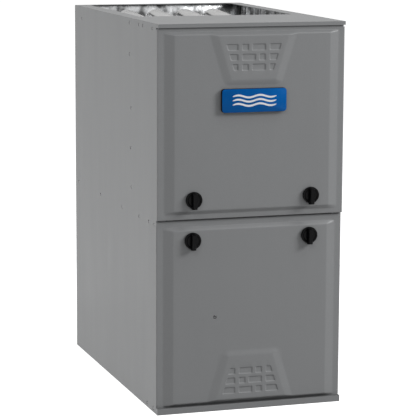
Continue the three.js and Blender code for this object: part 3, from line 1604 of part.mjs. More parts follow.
function controlBracket() {
  const top = SHELF_UNDERSIDE - GAP;
  const face = [BRACKET_SETBACK, BRACKET_SETBACK + SHEET];
  return join(
    box(across(BRACKET_HALF), face, [top - BRACKET_HEIGHT, top]),
    box(across(BRACKET_HALF), [BRACKET_SETBACK, BRACKET_SETBACK + BRACKET_FLANGE], [top - SHEET, top]),
  );
}

function controlBoard() {
  const half = BOARD_WIDTH / 2;
  const bottom = BOARD_TOP - BOARD_HEIGHT;
  const rear = BOARD_FRONT + BOARD_THICKNESS;
  const front = [BOARD_FRONT - RELAY_SIZE, BOARD_FRONT + BOARD_THICKNESS / 2];
  const posts = [-1, 1].flatMap((side) =>
    [bottom + BOARD_MARGIN, BOARD_TOP - BOARD_MARGIN].map((z) =>
      rod(
        "y",
        POST_RADIUS,
        [rear - BOARD_THICKNESS / 2, rear + BOARD_STANDOFF],
        [side * (half - BOARD_MARGIN), 0, z],
        8,
      ),
    ),
  );
  const relays = spread(RELAYS, RELAY_PITCH).map((x) =>
    box(
      [x - RELAY_SIZE / 2, x + RELAY_SIZE / 2],
      front,
      [BOARD_TOP - 2 * RELAY_SIZE, BOARD_TOP - BOARD_MARGIN],
    ),
  );
  const connectors = [-1, 1].map((side) =>
    box(
      sideSpan(side, half - RELAY_SIZE / 2, half),
      front,
      [CONNECTOR_Z - RELAY_SIZE, CONNECTOR_Z + RELAY_SIZE],
    ),
  );
  const slab = box(across(half), [BOARD_FRONT, rear], [bottom, BOARD_TOP]);
  return join(slab, ...posts, ...relays, ...connectors);
}

function transformer() {
  const rear = BRACKET_SETBACK - GAP;
  const top = BOARD_TOP - BOARD_HEIGHT - TRANSFORMER_MARGIN;
  const left = -BRACKET_HALF + TRANSFORMER_MARGIN;
  const x = [left, left + TRANSFORMER_WIDTH];
  const core = box(x, [rear - CORE_DEPTH, rear], [top - TRANSFORMER_HEIGHT, top]);
  const coil = box(
    [x[0] + TRANSFORMER_MARGIN, x[1] - TRANSFORMER_MARGIN],
    [rear - TRANSFORMER_DEPTH, rear - SHEET],
    [top - TRANSFORMER_HEIGHT + TRANSFORMER_MARGIN, top - TRANSFORMER_MARGIN],
  );
  return join(core, coil);
}

function junctionBox() {
  return tray(
    [INNER - JUNCTION_WIDTH, INNER],
    [JUNCTION_SETBACK, JUNCTION_SETBACK + JUNCTION_DEPTH],
    [JUNCTION_TOP - JUNCTION_HEIGHT, JUNCTION_TOP],
    "+x",
  );
}

function doorSwitch() {
  const top = SHELF_UNDERSIDE - GAP;
  const rear = SWITCH_BOX_SETBACK + SWITCH_BOX_DEPTH;
  const shell = box(
    across(SWITCH_BOX_WIDTH / 2),
    [SWITCH_BOX_SETBACK, rear],
    [top - SWITCH_BOX_HEIGHT, top],
  );
  const hole = bore(
    "y",
    PLUNGER_RADIUS,
    [SWITCH_BOX_SETBACK - OVERRUN, rear - 2 * SHEET],
    [0, 0, SHELF_TOP - PLUNGER_DROP],
    12,
  );
  return cut(shell, hole);
}

function doorSwitchPlunger() {
  const tip = LOWER_FIELD + SHEET + GAP;
  return rod("y", PLUNGER_RADIUS, [tip, tip + PLUNGER_LENGTH], [0, 0, SHELF_TOP - PLUNGER_DROP], 12);
}

function controlHarness() {
  const corners = [
    [-CONNECTOR_X - GAP, HARNESS_Y, CONNECTOR_Z],
    [HARNESS_X, HARNESS_Y, CONNECTOR_Z],
    [HARNESS_X, HARNESS_Y, INDUCER_LINE],
    [-INDUCER_MOTOR_RADIUS - GAP, HARNESS_Y, INDUCER_LINE],
  ];
  return tube(bentPath(corners, CABLE_BEND), HARNESS_RADIUS, 0, 8);
}

function motorLead() {
  const x = CONNECTOR_X + 2 * CABLE_BEND + 3 * LEAD_RADIUS;
  const corners = [
    [CONNECTOR_X + GAP, HARNESS_Y, CONNECTOR_Z],
    [x, HARNESS_Y, CONNECTOR_Z],
    [x, BLOWER_SETBACK, CONNECTOR_Z],
    [x, BLOWER_SETBACK, BLOWER_LINE],
    [HOUSING_WIDTH / 2 + MOTOR_OVERHANG + GAP, BLOWER_SETBACK, BLOWER_LINE],
  ];
  return tube(bentPath(corners, CABLE_BEND), LEAD_RADIUS, 0, 8);
}

function controls() {
  return group([
    piece("control_bracket", controlBracket(), GALVANISED),
    piece("control_board", controlBoard(), BOARD_GREEN),
    piece("transformer", transformer(), BLACK_STEEL),
    piece("junction_box", junctionBox(), GALVANISED),
    piece("door_switch", doorSwitch(), WHITE_PLASTIC),
    piece("door_switch_plunger", doorSwitchPlunger(), WHITE_PLASTIC),
    piece("control_harness", controlHarness(), RUBBER),
    piece("motor_lead", motorLead(), RUBBER),
  ]);
}

// ---------------------------------------------------------------- the whole furnace

function casing() {
  return group([
    piece("casing_wrap", casingWrap(), PAINT),
    piece("top_deck", topDeck(), PAINT),
    piece("bottom_rail", bottomRail(), PAINT),
    piece("bottom_closure", bottomClosure(), GALVANISED),
    piece("mid_rail", midRail(), GALVANISED),
    piece("blower_deck", blowerDeck(), GALVANISED),
    piece("cell_panel", cellPanel(), GALVANISED),
  ]);
}

function exchangers() {
  return group([
    ...exchangerTubes(),
    piece("coupling_box", couplingBox(), ALUMINISED),
    piece("secondary_coil", secondaryCoil(), STAINLESS),
    piece("condensate_collector", condensateCollector(), BLACK_PLASTIC),
    piece("condensate_trap", condensateTrap(), BLACK_PLASTIC),
  ]);
}

const furnace = new THREE.Group();
furnace.name = "furnace";
furnace.add(
  group(
    [
      casing(),
      upperDoor(),
      lowerDoor(),
      exchangers(),
      inducer(),
      gasTrain(),
      pressureSensing(),
      blower(),
      controls(),
    ],
    [0, CABINET_PLACE, 0],
  ),
);

export default furnace;
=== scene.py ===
import json
import logging
import math
from collections.abc import Callable, Iterable, Mapping, Sequence
from dataclasses import dataclass, field
from enum import Enum

import bmesh
import bpy
from mathutils import Matrix, Vector


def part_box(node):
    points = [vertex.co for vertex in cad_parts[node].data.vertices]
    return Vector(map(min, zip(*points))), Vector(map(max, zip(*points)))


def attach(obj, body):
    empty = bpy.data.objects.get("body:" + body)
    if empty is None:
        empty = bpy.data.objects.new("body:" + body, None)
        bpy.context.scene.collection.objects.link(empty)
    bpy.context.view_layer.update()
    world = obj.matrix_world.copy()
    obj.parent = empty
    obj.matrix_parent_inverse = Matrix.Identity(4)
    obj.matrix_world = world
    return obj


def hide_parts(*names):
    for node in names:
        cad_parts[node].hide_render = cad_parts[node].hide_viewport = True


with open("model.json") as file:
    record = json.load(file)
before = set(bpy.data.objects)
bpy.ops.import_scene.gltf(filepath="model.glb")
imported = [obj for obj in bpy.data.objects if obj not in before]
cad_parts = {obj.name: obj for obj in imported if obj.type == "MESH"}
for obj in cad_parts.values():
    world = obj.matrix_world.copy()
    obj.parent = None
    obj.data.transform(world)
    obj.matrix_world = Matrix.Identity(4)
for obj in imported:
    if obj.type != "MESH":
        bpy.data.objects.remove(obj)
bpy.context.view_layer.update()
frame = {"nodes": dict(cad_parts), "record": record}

LOG = logging.getLogger("furnace")
MM = 0.001
SHEET = 1.2 * MM
POINT_RADIUS = 1e-7
SQUARE_REACH = 1.01
CABINET = "cabinet"
Point = Sequence[float]
Value = "Wire | float | Sequence[float]"


# ------------------------------------------------------------------ shader expressions


class Wire:
    """A node's output that takes part in expressions."""

    def __init__(self, surface: "Surface", socket: bpy.types.NodeSocket) -> None:
        """Wraps a socket.

        Args:
            surface: The material that the socket belongs to.
            socket: The output socket.
        """
        self.surface = surface
        self.socket = socket

    def _math(self, operation: str, first: "Value", second: "Value") -> "Wire":
        """Adds one Math node and gives its result."""
        return self.surface.node("ShaderNodeMath", {"operation": operation}, {0: first, 1: second})

    def __add__(self, other: "Value") -> "Wire":
        """Sum."""
        return self._math("ADD", self, other)

    def __radd__(self, other: "Value") -> "Wire":
        """Sum with a number on the left."""
        return self._math("ADD", other, self)

    def __sub__(self, other: "Value") -> "Wire":
        """Difference."""
        return self._math("SUBTRACT", self, other)

    def __rsub__(self, other: "Value") -> "Wire":
        """Difference with a number on the left."""
        return self._math("SUBTRACT", other, self)

    def __mul__(self, other: "Value") -> "Wire":
        """Product."""
        return self._math("MULTIPLY", self, other)

    def over(self, limit: "Value") -> "Wire":
        """One where this is greater than the limit, and nothing elsewhere."""
        return self._math("GREATER_THAN", self, limit)

    def most(self, other: "Value") -> "Wire":
        """The greater of the two."""
        return self._math("MAXIMUM", self, other)

    def wave(self) -> "Wire":
        """Sine of this value in radians."""
        return self._math("SINE", self, 0.0)

    def span(self, low: float, high: float) -> "Wire":
        """Rises from nothing to one between two values.

        Args:
            low: The value that gives nothing.
            high: The value that gives one.

        Returns:
            The share, held between nothing and one.
        """
        settings = {"clamp": True}
        return self.surface.node("ShaderNodeMapRange", settings, {0: self, 1: low, 2: high, 3: 0.0, 4: 1.0})


class Surface:
    """The nodes of a material or of the surroundings, made one at a time."""

    def __init__(self, name: str, world: bool = False) -> None:
        """Starts with no nodes.

        Args:
            name: The name of what is made.
            world: True for the surroundings.
        """
        self.owner = (bpy.data.worlds if world else bpy.data.materials).new(name)
        self.owner.use_nodes = True
        self.tree = self.owner.node_tree
        self.tree.nodes.clear()

    def node(
        self,
        kind: str,
        settings: Mapping[str, object] | None = None,
        sockets: Mapping[int | str, "Value"] | None = None,
        output: int | str = 0,
    ) -> Wire:
        """Adds a node.

        Args:
            kind: The node's type.
            settings: Its properties, set first.
            sockets: Values or links of its inputs, by name or number.
            output: Which output is wanted.

        Returns:
            The wanted output.
        """
        node = self.tree.nodes.new(kind)
        for name, value in (settings or {}).items():
            setattr(node, name, value)
        for key, value in (sockets or {}).items():
            if isinstance(value, Wire):
                self.tree.links.new(value.socket, node.inputs[key])
            else:
                node.inputs[key].default_value = value
        return Wire(self, node.outputs[output]) if node.outputs else Wire(self, None)

    def seen(self) -> Wire:
        """One for rays that come from the eye, straight, through glass or by reflection."""
        names = ("Is Camera Ray", "Is Glossy Ray", "Is Transmission Ray")
        camera, glossy, through = (self.node("ShaderNodeLightPath", output=name) for name in names)
        return camera.most(glossy).most(through)

    def place(self) -> Wire:
        """The point in the object's own axes, in metres."""
        return self.node("ShaderNodeTexCoord", output="Object")

    def axis(self, name: str) -> Wire:
        """One coordinate of that point, named X, Y or Z."""
        return self.node("ShaderNodeSeparateXYZ", sockets={0: self.place()}, output=name)

    def stretched(self, factors: Point) -> Wire:
        """That point with each coordinate scaled by its own factor."""
        settings = {"operation": "MULTIPLY"}
        return self.node("ShaderNodeVectorMath", settings, {0: self.place(), 1: factors})

    def noise(self, size: float, detail: float = 2.0, factors: Point = (1, 1, 1)) -> Wire:
        """Soft noise.

        Args:
            size: Size of a blotch, in metres.
            detail: How many finer layers it has.
            factors: Scale of each coordinate, for streaks.

        Returns:
            The noise, from nothing to one.
        """
        sockets = {"Vector": self.stretched(factors), "Scale": 1.0 / size, "Detail": detail}
        return self.node("ShaderNodeTexNoise", None, sockets)

    def cells(self, size: float) -> Wire:
        """A number that differs from cell to cell, for the spangle of zinc."""
        sockets = {"Vector": self.place(), "Scale": 1.0 / size}
        colour = self.node("ShaderNodeTexVoronoi", None, sockets, "Color")
        return self.node("ShaderNodeSeparateColor", None, {0: colour})

    def mixed(self, first: "Value", second: "Value", share: "Value") -> Wire:
        """A colour between two.

        Args:
            first: The colour at share nothing.
            second: The colour at share one.
            share: How much of the second.

        Returns:
            The mixed colour.
        """
        first, second = (_opaque(colour) for colour in (first, second))
        return self.node("ShaderNodeMix", {"data_type": "RGBA"}, {0: share, 6: first, 7: second}, 2)

    def bump(self, height: Wire, depth: float, strength: float = 1.0) -> Wire:
        """A normal that follows a height.

        Args:
            height: The height, from nothing to one.
            depth: What one stands for, in metres.
            strength: How much of it is felt.

        Returns:
            The normal.
        """
        return self.node("ShaderNodeBump", None, {"Strength": strength, "Distance": depth, "Height": height})

    def close(self, sockets: Mapping[int | str, "Value"]) -> bpy.types.Material:
        """Ends the material in one principled shader.

        Args:
            sockets: Values or links of the shader's inputs.

        Returns:
            The finished material.
        """
        shader = self.node("ShaderNodeBsdfPrincipled", None, sockets)
        self.node("ShaderNodeOutputMaterial", None, {"Surface": shader})
        return self.owner


def _opaque(colour: "Value") -> "Value":
    """A colour as four numbers, or a link as it is."""
    return colour if isinstance(colour, Wire) else (*colour[:3], 1.0)


def shade(colour: Point, factor: float) -> tuple[float, ...]:
    """A colour made lighter or darker.

    Args:
        colour: Red, green and blue, linear.
        factor: What each is multiplied by.

    Returns:
        The new colour.
    """
    return tuple(min(1.0, part * factor) for part in colour[:3])


# ------------------------------------------------------------------ finishes


@dataclass(frozen=True)
class Finish:
    """What every finish has: a name, the record's slot and a colour."""

    name: str
    slot: str
    colour: tuple[float, float, float]

    def build(self) -> bpy.types.Material:
        """Makes the material."""
        raise NotImplementedError

    def material(self) -> bpy.types.Material:
        """The material, made once."""
        return bpy.data.materials.get(self.name) or self.build()


@dataclass(frozen=True)
class PaintedSteel(Finish):
    """Grey baked paint with a fine metallic fleck over pressed steel."""

    roughness: float = 0.40
    fleck: float = 1.4 * MM
    foot_darkening_height: float = 0.05

    def build(self) -> bpy.types.Material:
        """Makes the material."""
        surface = Surface(self.name)
        cloud = surface.noise(0.35, 3.0)
        streak = surface.noise(0.03, 4.0, (1.0, 1.0, 0.12))
        fleck = surface.noise(self.fleck, 2.0)
        scuff = surface.noise(0.012, 5.0).span(0.66, 0.78) * surface.noise(0.22, 2.0).span(0.5, 0.7)
        # Darker towards the bottom: the tone dims within that height of the floor.
        low = 1.0 - surface.axis("Z").span(0.0, self.foot_darkening_height)
        tone = surface.mixed(shade(self.colour, 0.94), shade(self.colour, 1.06), cloud * 0.6 + streak * 0.4)
        tone = surface.mixed(tone, shade(self.colour, 1.24), fleck.span(0.52, 0.80) * 0.30)
        tone = surface.mixed(tone, shade(self.colour, 0.80), fleck.span(0.50, 0.25) * 0.22)
        tone = surface.mixed(tone, shade(self.colour, 0.78), low * 0.25 + scuff * 0.18)
        rough = self.roughness + (streak - 0.5) * 0.10 + scuff * 0.12
        peel = surface.noise(3.0 * MM, 2.0) * 0.6 + fleck * 0.4
        return surface.close(
            {
                "Base Color": tone,
                "Roughness": rough,
                "Metallic": 0.05,
                "Specular IOR Level": 0.3,
                "Coat Weight": 0.05,
                "Coat Roughness": 0.3,
                "Normal": surface.bump(peel, 0.03 * MM, 0.45),
            }
        )


@dataclass(frozen=True)
class ZincSteel(Finish):
    """Galvanised sheet with its spangle."""

    spangle: float = 11 * MM
    roughness: float = 0.34
    metallic: float = 0.82

    def build(self) -> bpy.types.Material:
        """Makes the material."""
        surface = Surface(self.name)
        grain = surface.cells(self.spangle)
        small = surface.cells(self.spangle * 0.4)
        haze = surface.noise(0.09, 4.0)
        share = grain * 0.55 + small * 0.2 + haze * 0.25
        tone = surface.mixed(shade(self.colour, 0.72), shade(self.colour, 1.18), share)
        rough = self.roughness + (grain - 0.5) * 0.16 + (haze - 0.5) * 0.12
        height = surface.noise(2.0 * MM, 2.0)
        return surface.close(
            {
                "Base Color": tone,
                "Roughness": rough,
                "Metallic": self.metallic,
                "Normal": surface.bump(height, 0.02 * MM, 0.35),
            }
        )


@dataclass(frozen=True)
class RolledMetal(Finish):
    """Bare bright metal with draw marks along it and a trace of heat."""

    roughness: float = 0.26
    metallic: float = 0.92
    tint: tuple[float, float, float] = (0.52, 0.42, 0.30)
    tinted: float = 0.16
    marks: tuple[float, float, float] = (1.0, 0.04, 1.0)

    def build(self) -> bpy.types.Material:
        """Makes the material."""
        surface = Surface(self.name)
        mark = surface.noise(2.2 * MM, 4.0, self.marks)
        cloud = surface.noise(0.05, 4.0)
        tone = surface.mixed(shade(self.colour, 0.82), shade(self.colour, 1.12), mark * 0.5 + cloud * 0.5)
        tone = surface.mixed(tone, self.tint, cloud.span(0.5, 0.8) * self.tinted)
        dent = surface.noise(18 * MM, 2.0)
        return surface.close(
            {
                "Base Color": tone,
                "Roughness": self.roughness + (cloud - 0.5) * 0.18 + (mark - 0.5) * 0.10,
                "Metallic": self.metallic,
                "Normal": surface.bump(dent * 0.85 + mark * 0.15, 0.5 * MM, 0.5),
            }
        )


@dataclass(frozen=True)
class CoatedMetal(Finish):
    """Black or cast metal with a matt, slightly pitted skin."""

    roughness: float = 0.5
    metallic: float = 0.4
    pit: float = 1.6 * MM
    depth: float = 0.12 * MM

    def build(self) -> bpy.types.Material:
        """Makes the material."""
        surface = Surface(self.name)
        pit = surface.noise(self.pit, 3.0)
        cloud = surface.noise(0.04, 3.0)
        tone = surface.mixed(shade(self.colour, 0.8), shade(self.colour, 1.3), pit * 0.5 + cloud * 0.5)
        return surface.close(
            {
                "Base Color": tone,
                "Roughness": self.roughness + (cloud - 0.5) * 0.2,
                "Metallic": self.metallic,
                "Normal": surface.bump(pit, self.depth, 0.6),
            }
        )


@dataclass(frozen=True)
class Moulding(Finish):
    """Moulded plastic or rubber with a fine grain."""

    roughness: float = 0.38
    grain: float = 0.9 * MM
    depth: float = 0.03 * MM
    specular: float = 0.5
    dust: float = 0.08

    def build(self) -> bpy.types.Material:
        """Makes the material."""
        surface = Surface(self.name)
        grain = surface.noise(self.grain, 2.0)
        cloud = surface.noise(0.03, 3.0)
        tone = surface.mixed(shade(self.colour, 0.86), shade(self.colour, 1.14), cloud)
        tone = surface.mixed(tone, (0.35, 0.35, 0.34), grain.span(0.62, 0.8) * self.dust)
        return surface.close(
            {
                "Base Color": tone,
                "Roughness": self.roughness + (cloud - 0.5) * 0.16,
                "Specular IOR Level": self.specular,
                "Normal": surface.bump(grain, self.depth, 0.5),
            }
        )


@dataclass(frozen=True)
class CircuitBoard(Finish):
    """Green lacquered board with paler copper runs under it."""

    pitch: float = 5.0 * MM

    def build(self) -> bpy.types.Material:
        """Makes the material."""
        surface = Surface(self.name)
        turn = 2 * math.pi / self.pitch
        bend = surface.noise(18 * MM, 1.0) * 8.0
        upright = (surface.axis("X") * turn + bend).wave().span(0.55, 0.75)
        level = (surface.axis("Z") * turn * 0.8 + bend).wave().span(0.7, 0.85)
        field_share = surface.noise(25 * MM, 0.0).over(0.5)
        runs = upright * field_share + level * (1.0 - field_share)
        tone = surface.mixed(self.colour, shade(self.colour, 2.1), runs)
        return surface.close(
            {
                "Base Color": tone,
                "Roughness": 0.32 + runs * 0.08,
                "Coat Weight": 0.3,
                "Normal": surface.bump(runs, 0.05 * MM, 0.5),
            }
        )


@dataclass(frozen=True)
class CrinkledFoil(Finish):
    """Foil facing on glass wool: bright, quilted and creased, with painted shade and highlights along the
    creases.
    """

    def build(self) -> bpy.types.Material:
        """Makes the material."""
        surface = Surface(self.name)
        crease = surface.noise(26 * MM, 5.0, (1.0, 1.0, 0.7))
        quilt = surface.noise(0.07, 2.0)
        # Painted shade and highlight: the colour runs from nearly black in the creases to bright on their
        # ridges, standing in for the foil's shade and reflections.
        share = crease.span(0.40, 0.62)
        tone = surface.mixed(shade(self.colour, 0.16), shade(self.colour, 1.15), share)
        return surface.close(
            {
                "Base Color": tone,
                "Roughness": 0.20 + quilt * 0.16,
                "Metallic": 0.9,
                "Normal": surface.bump(crease * 0.8 + quilt * 0.2, 3.0 * MM, 0.9),
            }
        )


@dataclass(frozen=True)
class DarkLens(Finish):
    """Thick smoked glass."""

    def build(self) -> bpy.types.Material:
        """Makes the material."""
        surface = Surface(self.name)
        haze = surface.noise(4 * MM, 2.0)
        tone = surface.mixed(self.colour, shade(self.colour, 2.0), haze.span(0.4, 0.9) * 0.4)
        return surface.close(
            {"Base Color": tone, "Roughness": 0.05 + haze * 0.06, "IOR": 1.52, "Coat Weight": 0.8}
        )


PAINT = PaintedSteel("baked_grey_paint", "grey_paint", (0.238, 0.243, 0.248))
ZINC = ZincSteel("zinc_sheet", "galvanised", (0.50, 0.51, 0.52))
ZINC_SCREW = ZincSteel("zinc_screw", "galvanised", (0.42, 0.42, 0.42), 3 * MM, 0.3, 0.9)
ALUMINISED = RolledMetal("aluminised_tube", "aluminised", (0.50, 0.50, 0.50), 0.18, 0.95, tinted=0.08)
STAINLESS = RolledMetal("stainless_sheet", "stainless", (0.58, 0.58, 0.57), 0.26, 0.95, tinted=0.0)
BLACK_STEEL = CoatedMetal("black_enamel", "black_steel", (0.018, 0.018, 0.019), 0.42, 0.35)
PIPE_STEEL = CoatedMetal("pipe_steel", "black_steel", (0.030, 0.031, 0.032), 0.5, 0.6, depth=0.2 * MM)
CAST_METAL = CoatedMetal("cast_metal", "cast_aluminium", (0.46, 0.47, 0.48), 0.42, 0.85)
BLACK_PLASTIC = Moulding(
    "gloss_black_moulding", "black_plastic", (0.0025, 0.0025, 0.003), 0.22, specular=0.08, dust=0.0
)
INNER_PLASTIC = Moulding("inner_black_plastic", "black_plastic", (0.014, 0.014, 0.015), 0.46, dust=0.05)
GREY_PLASTIC = Moulding("grey_moulding", "grey_plastic", (0.10, 0.11, 0.12), 0.5)
WHITE_PLASTIC = Moulding("white_moulding", "white_plastic", (0.74, 0.74, 0.71), 0.36, dust=0.03)
BRASS = RolledMetal("brass", "stainless", (0.50, 0.36, 0.13), 0.3, 0.9, tinted=0.1)
BADGE_BLUE = Moulding(
    "badge_enamel", "badge_blue", (0.0, 0.108, 0.392), 0.24, 1.6 * MM, specular=0.08, dust=0.0
)
BADGE_WHITE = Moulding("badge_white", "white_plastic", (0.86, 0.87, 0.88), 0.3, dust=0.0)
RUBBER = Moulding("rubber_moulding", "black_rubber", (0.012, 0.012, 0.012), 0.62, 1.5 * MM, 0.06 * MM, 0.35)
YELLOW_TAPE = Moulding("coil_tape", "ceramic_white", (0.62, 0.45, 0.12), 0.45, 2.0 * MM)
CERAMIC = CoatedMetal("ceramic", "ceramic_white", (0.74, 0.71, 0.64), 0.6, 0.0, 1.0 * MM, 0.05 * MM)
BOARD = CircuitBoard("circuit_board", "board_green", (0.010, 0.085, 0.035))
FOIL = CrinkledFoil("foil_lining", "aluminised", (0.66, 0.67, 0.68))
LENS = DarkLens("smoked_lens", "sight_glass", (0.012, 0.014, 0.018))


# ------------------------------------------------------------------ forms


class Axis(Enum):
    """The line that a turned or extruded form lies along, with its two other axes in order."""

    X = (0, 1, 2)
    Y = (1, 2, 0)
    Z = (2, 0, 1)

    def point(self, along: float, first: float, second: float) -> Vector:
        """The point at that place along the axis and on the two others."""
        place = Vector((0.0, 0.0, 0.0))
        for index, value in zip(self.value, (along, first, second)):
            place[index] = value
        return place


@dataclass(frozen=True)
class Extent:
    """A box in the frame."""

    low: Vector
    high: Vector

    @classmethod
    def of(cls, node: str) -> "Extent":
        """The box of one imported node."""
        low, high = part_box(node)
        return cls(Vector(low), Vector(high))

    @property
    def middle(self) -> Vector:
        """Its centre."""
        return (self.low + self.high) / 2

    @property
    def size(self) -> Vector:
        """Its three sides."""
        return self.high - self.low


def body_of(node: str) -> str:
    """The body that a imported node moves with."""
    bodies = frame["record"]["behaviour"]["bodies"]
    return next(body for body, members in bodies.items() if node in members)


def linked(name: str, data: bpy.types.ID) -> bpy.types.Object:
    """A new object of the scene that holds the data."""
    made = bpy.data.objects.new(name, data)
    bpy.context.scene.collection.objects.link(made)
    return made


class Form:
    """A mesh in the making, in metres and in the frame's axes."""

    def __init__(self) -> None:
        """Starts with nothing."""
        self.mesh = bmesh.new()

    def block(self, low: Point, high: Point, edge: float = 0.6 * MM, steps: int = 2) -> "Form":
        """Adds a box with rounded edges.

        Args:
            low: Its lowest corner.
            high: Its highest corner.
            edge: Radius of its edges.
            steps: Steps in each edge.

        Returns:
            This form.
        """
        verts = bmesh.ops.create_cube(self.mesh, size=1.0)["verts"]
        for vert in verts:
            sides = zip(low, vert.co, high)
            vert.co = Vector(start + (part + 0.5) * (end - start) for start, part, end in sides)
        if edge > 0:
            rims = list({rim for vert in verts for rim in vert.link_edges})
            self._bevel(rims, edge, steps)
        return self

    def _bevel(self, rims: list, edge: float, steps: int) -> None:
        """Rounds some edges."""
        bmesh.ops.bevel(self.mesh, geom=rims, offset=edge, segments=steps, profile=0.5, affect="EDGES")

    def rod(
        self, radius: float, low: float, high: float, axis: Axis, centre: Point, steps: int = 32
    ) -> "Form":
        """Adds a plain rod or disc.

        Args:
            radius: Its radius.
            low: Where it starts along the axis.
            high: Where it ends.
            axis: The line it lies along.
            centre: A point on that line that the places count from.
            steps: Flats round it.

        Returns:
            This form.
        """
        return self.lathe([(0, low), (radius, low), (radius, high), (0, high)], axis, centre, steps)

    def lathe(self, profile: Sequence[Point], axis: Axis, centre: Point, steps: int = 32) -> "Form":
        """Adds a turned form.

        Args:
            profile: Pairs of radius and place along the axis; it closes on the axis or on itself.
            axis: The line it turns about.
            centre: A point on that line that the places count from.
            steps: Flats round it.

        Returns:
            This form.
        """
        rings = []
        closed = profile[0] == profile[-1]
        for radius, along in profile[:-1] if closed else profile:
            places = [axis.point(along, u, v) + Vector(centre) for u, v in circle(radius, steps)]
            on_axis = radius <= POINT_RADIUS
            rings.append([self.mesh.verts.new(place) for place in (places[:1] if on_axis else places)])
        pairs = list(zip(rings, rings[1:]))
        if closed:
            pairs.append((rings[-1], rings[0]))
        for ring, after in pairs:
            self.skin(ring, after, steps)
        return self

    def skin(self, ring: list, after: list, steps: int) -> None:
        """Joins two rings, either of which may be a single point."""
        for k in range(steps):
            corners = [ring[k % len(ring)], ring[(k + 1) % len(ring)]]
            corners += [after[(k + 1) % len(after)], after[k % len(after)]]
            unique = list(dict.fromkeys(corners))
            if len(unique) > 2:
                self.mesh.faces.new(unique)

    def pipe(
        self,
        route: Sequence[Vector],
        radius: float,
        sides: int = 20,
        bore: float = 0.0,
        swell: Callable[[int], float] = lambda station: 0.0,
    ) -> "Form":
        """Adds a tube along a route.

        Args:
            route: Its stations.
            radius: Outer radius.
            sides: Flats round it.
            bore: Inner radius, or nothing for a solid rod.
            swell: What a station adds to the outer radius.

        Returns:
            This form.
        """
        outer = self._sleeve(route, radius, sides, swell)
        if bore > 0:
            inner = self._sleeve(route, bore, sides)
            for end in (0, -1):
                self.skin(outer[end], inner[end], sides)
        else:
            self.mesh.faces.new(outer[0])
            self.mesh.faces.new(outer[-1])
        return self

    def _sleeve(
        self,
        route: Sequence[Vector],
        radius: float,
        sides: int,
        swell: Callable[[int], float] = lambda station: 0.0,
    ) -> list[list]:
        """Rings along a route, each turned as little as can be from the last, with their skin."""
        rings = []
        way = (route[1] - route[0]).normalized()
        across = way.orthogonal().normalized()
        for index, place in enumerate(route):
            before = route[max(index - 1, 0)]
            after = route[min(index + 1, len(route) - 1)]
            tangent = (after - before).normalized()
            across = (across - tangent * across.dot(tangent)).normalized()
            other = tangent.cross(across)
            ring = []
            for cosine, sine in circle(1.0, sides):
                offset = across * cosine + other * sine
                ring.append(self.mesh.verts.new(place + offset * (radius + swell(index))))
            rings.append(ring)
        for ring, after_ring in zip(rings, rings[1:]):
            self.skin(ring, after_ring, sides)
        return rings

    def prism(
        self, outline: Sequence[Point], axis: Axis, low: float, high: float, edge: float = 0.0
    ) -> "Form":
        """Adds an outline drawn along an axis.

        Args:
            outline: Its corners on the two other axes, in the axis's own order.
            axis: The line it is drawn along.
            low: Where it starts.
            high: Where it ends.
            edge: Radius of the edges at both ends.

        Returns:
            This form.
        """
        ends = [[self.mesh.verts.new(axis.point(along, u, v)) for u, v in outline] for along in (low, high)]
        caps = [self.mesh.faces.new(end) for end in ends]
        self.skin(ends[0], ends[1], len(outline))
        if edge > 0:
            rims = list({rim for cap in caps for rim in cap.edges})
            self._bevel(rims, edge, 2)
        return self

    def screw(self, centre: Point, axis: Axis, out: int, radius: float = 4.0 * MM) -> "Form":
        """Adds a hexagon washer head.

        Args:
            centre: Where it meets the sheet.
            axis: The line it points along.
            out: Which way it points, 1 or -1.
            radius: Radius of its washer.

        Returns:
            This form.
        """
        rim = radius * 0.2 * out
        top = radius * 0.95 * out
        washer = [(0, 0), (radius, 0), (radius, rim * 0.6), (radius * 0.8, rim), (0, rim)]
        self.lathe(washer, axis, centre, 20)
        head = [(0, rim * 0.9), (radius * 0.62, rim * 0.9), (radius * 0.62, top * 0.85)]
        self.lathe([*head, (radius * 0.5, top), (0, top)], axis, centre, 6)
        return self

    def data(self, name: str) -> bpy.types.Mesh:
        """Ends the form as mesh data with its faces turned outward."""
        bmesh.ops.recalc_face_normals(self.mesh, faces=self.mesh.faces)
        data = bpy.data.meshes.new(name)
        self.mesh.to_mesh(data)
        self.mesh.free()
        return data

    def done(
        self,
        name: str,
        finish: Finish,
        body: str = CABINET,
        replaces: Iterable[str] = (),
        sharp: float = 38.0,
    ) -> bpy.types.Object:
        """Ends the form as a piece of the furnace.

        Args:
            name: The piece's name.
            finish: What it is made of.
            body: The body it moves with.
            replaces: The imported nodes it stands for.
            sharp: Angle in degrees from which an edge is drawn sharp.

        Returns:
            The piece.
        """
        data = self.data(name)
        data.polygons.foreach_set("use_smooth", [True] * len(data.polygons))
        data.set_sharp_from_angle(angle=math.radians(sharp))
        data.materials.append(finish.material())
        piece = linked(name, data)
        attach(piece, body)
        nodes = list(replaces)
        if nodes:
            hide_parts(*nodes)
        LOG.info("%s: %d faces, %s, on %s", name, len(data.polygons), finish.name, body)
        return piece


def rounded(corners: Sequence[Point], radius: float, steps: int = 10) -> list[Vector]:
    """A route through corners, each rounded to one radius.

    Args:
        corners: The route's corners.
        radius: Radius of each bend.
        steps: Steps in each bend.

    Returns:
        The route's stations.
    """
    points = [Vector(corner) for corner in corners]
    route = [points[0]]
    for before, corner, after in zip(points, points[1:], points[2:]):
        way = (corner - before).normalized()
        onward = (after - corner).normalized()
        turn = way.angle(onward)
        inward = (onward - way * onward.dot(way)).normalized()
        start = corner - way * radius * math.tan(turn / 2)
        for k in range(steps + 1):
            angle = turn * k / steps
            place = start + way * radius * math.sin(angle) + inward * radius * (1 - math.cos(angle))
            if (place - route[-1]).length > 0.05 * MM:
                route.append(place)
    route.append(points[-1])
    return route


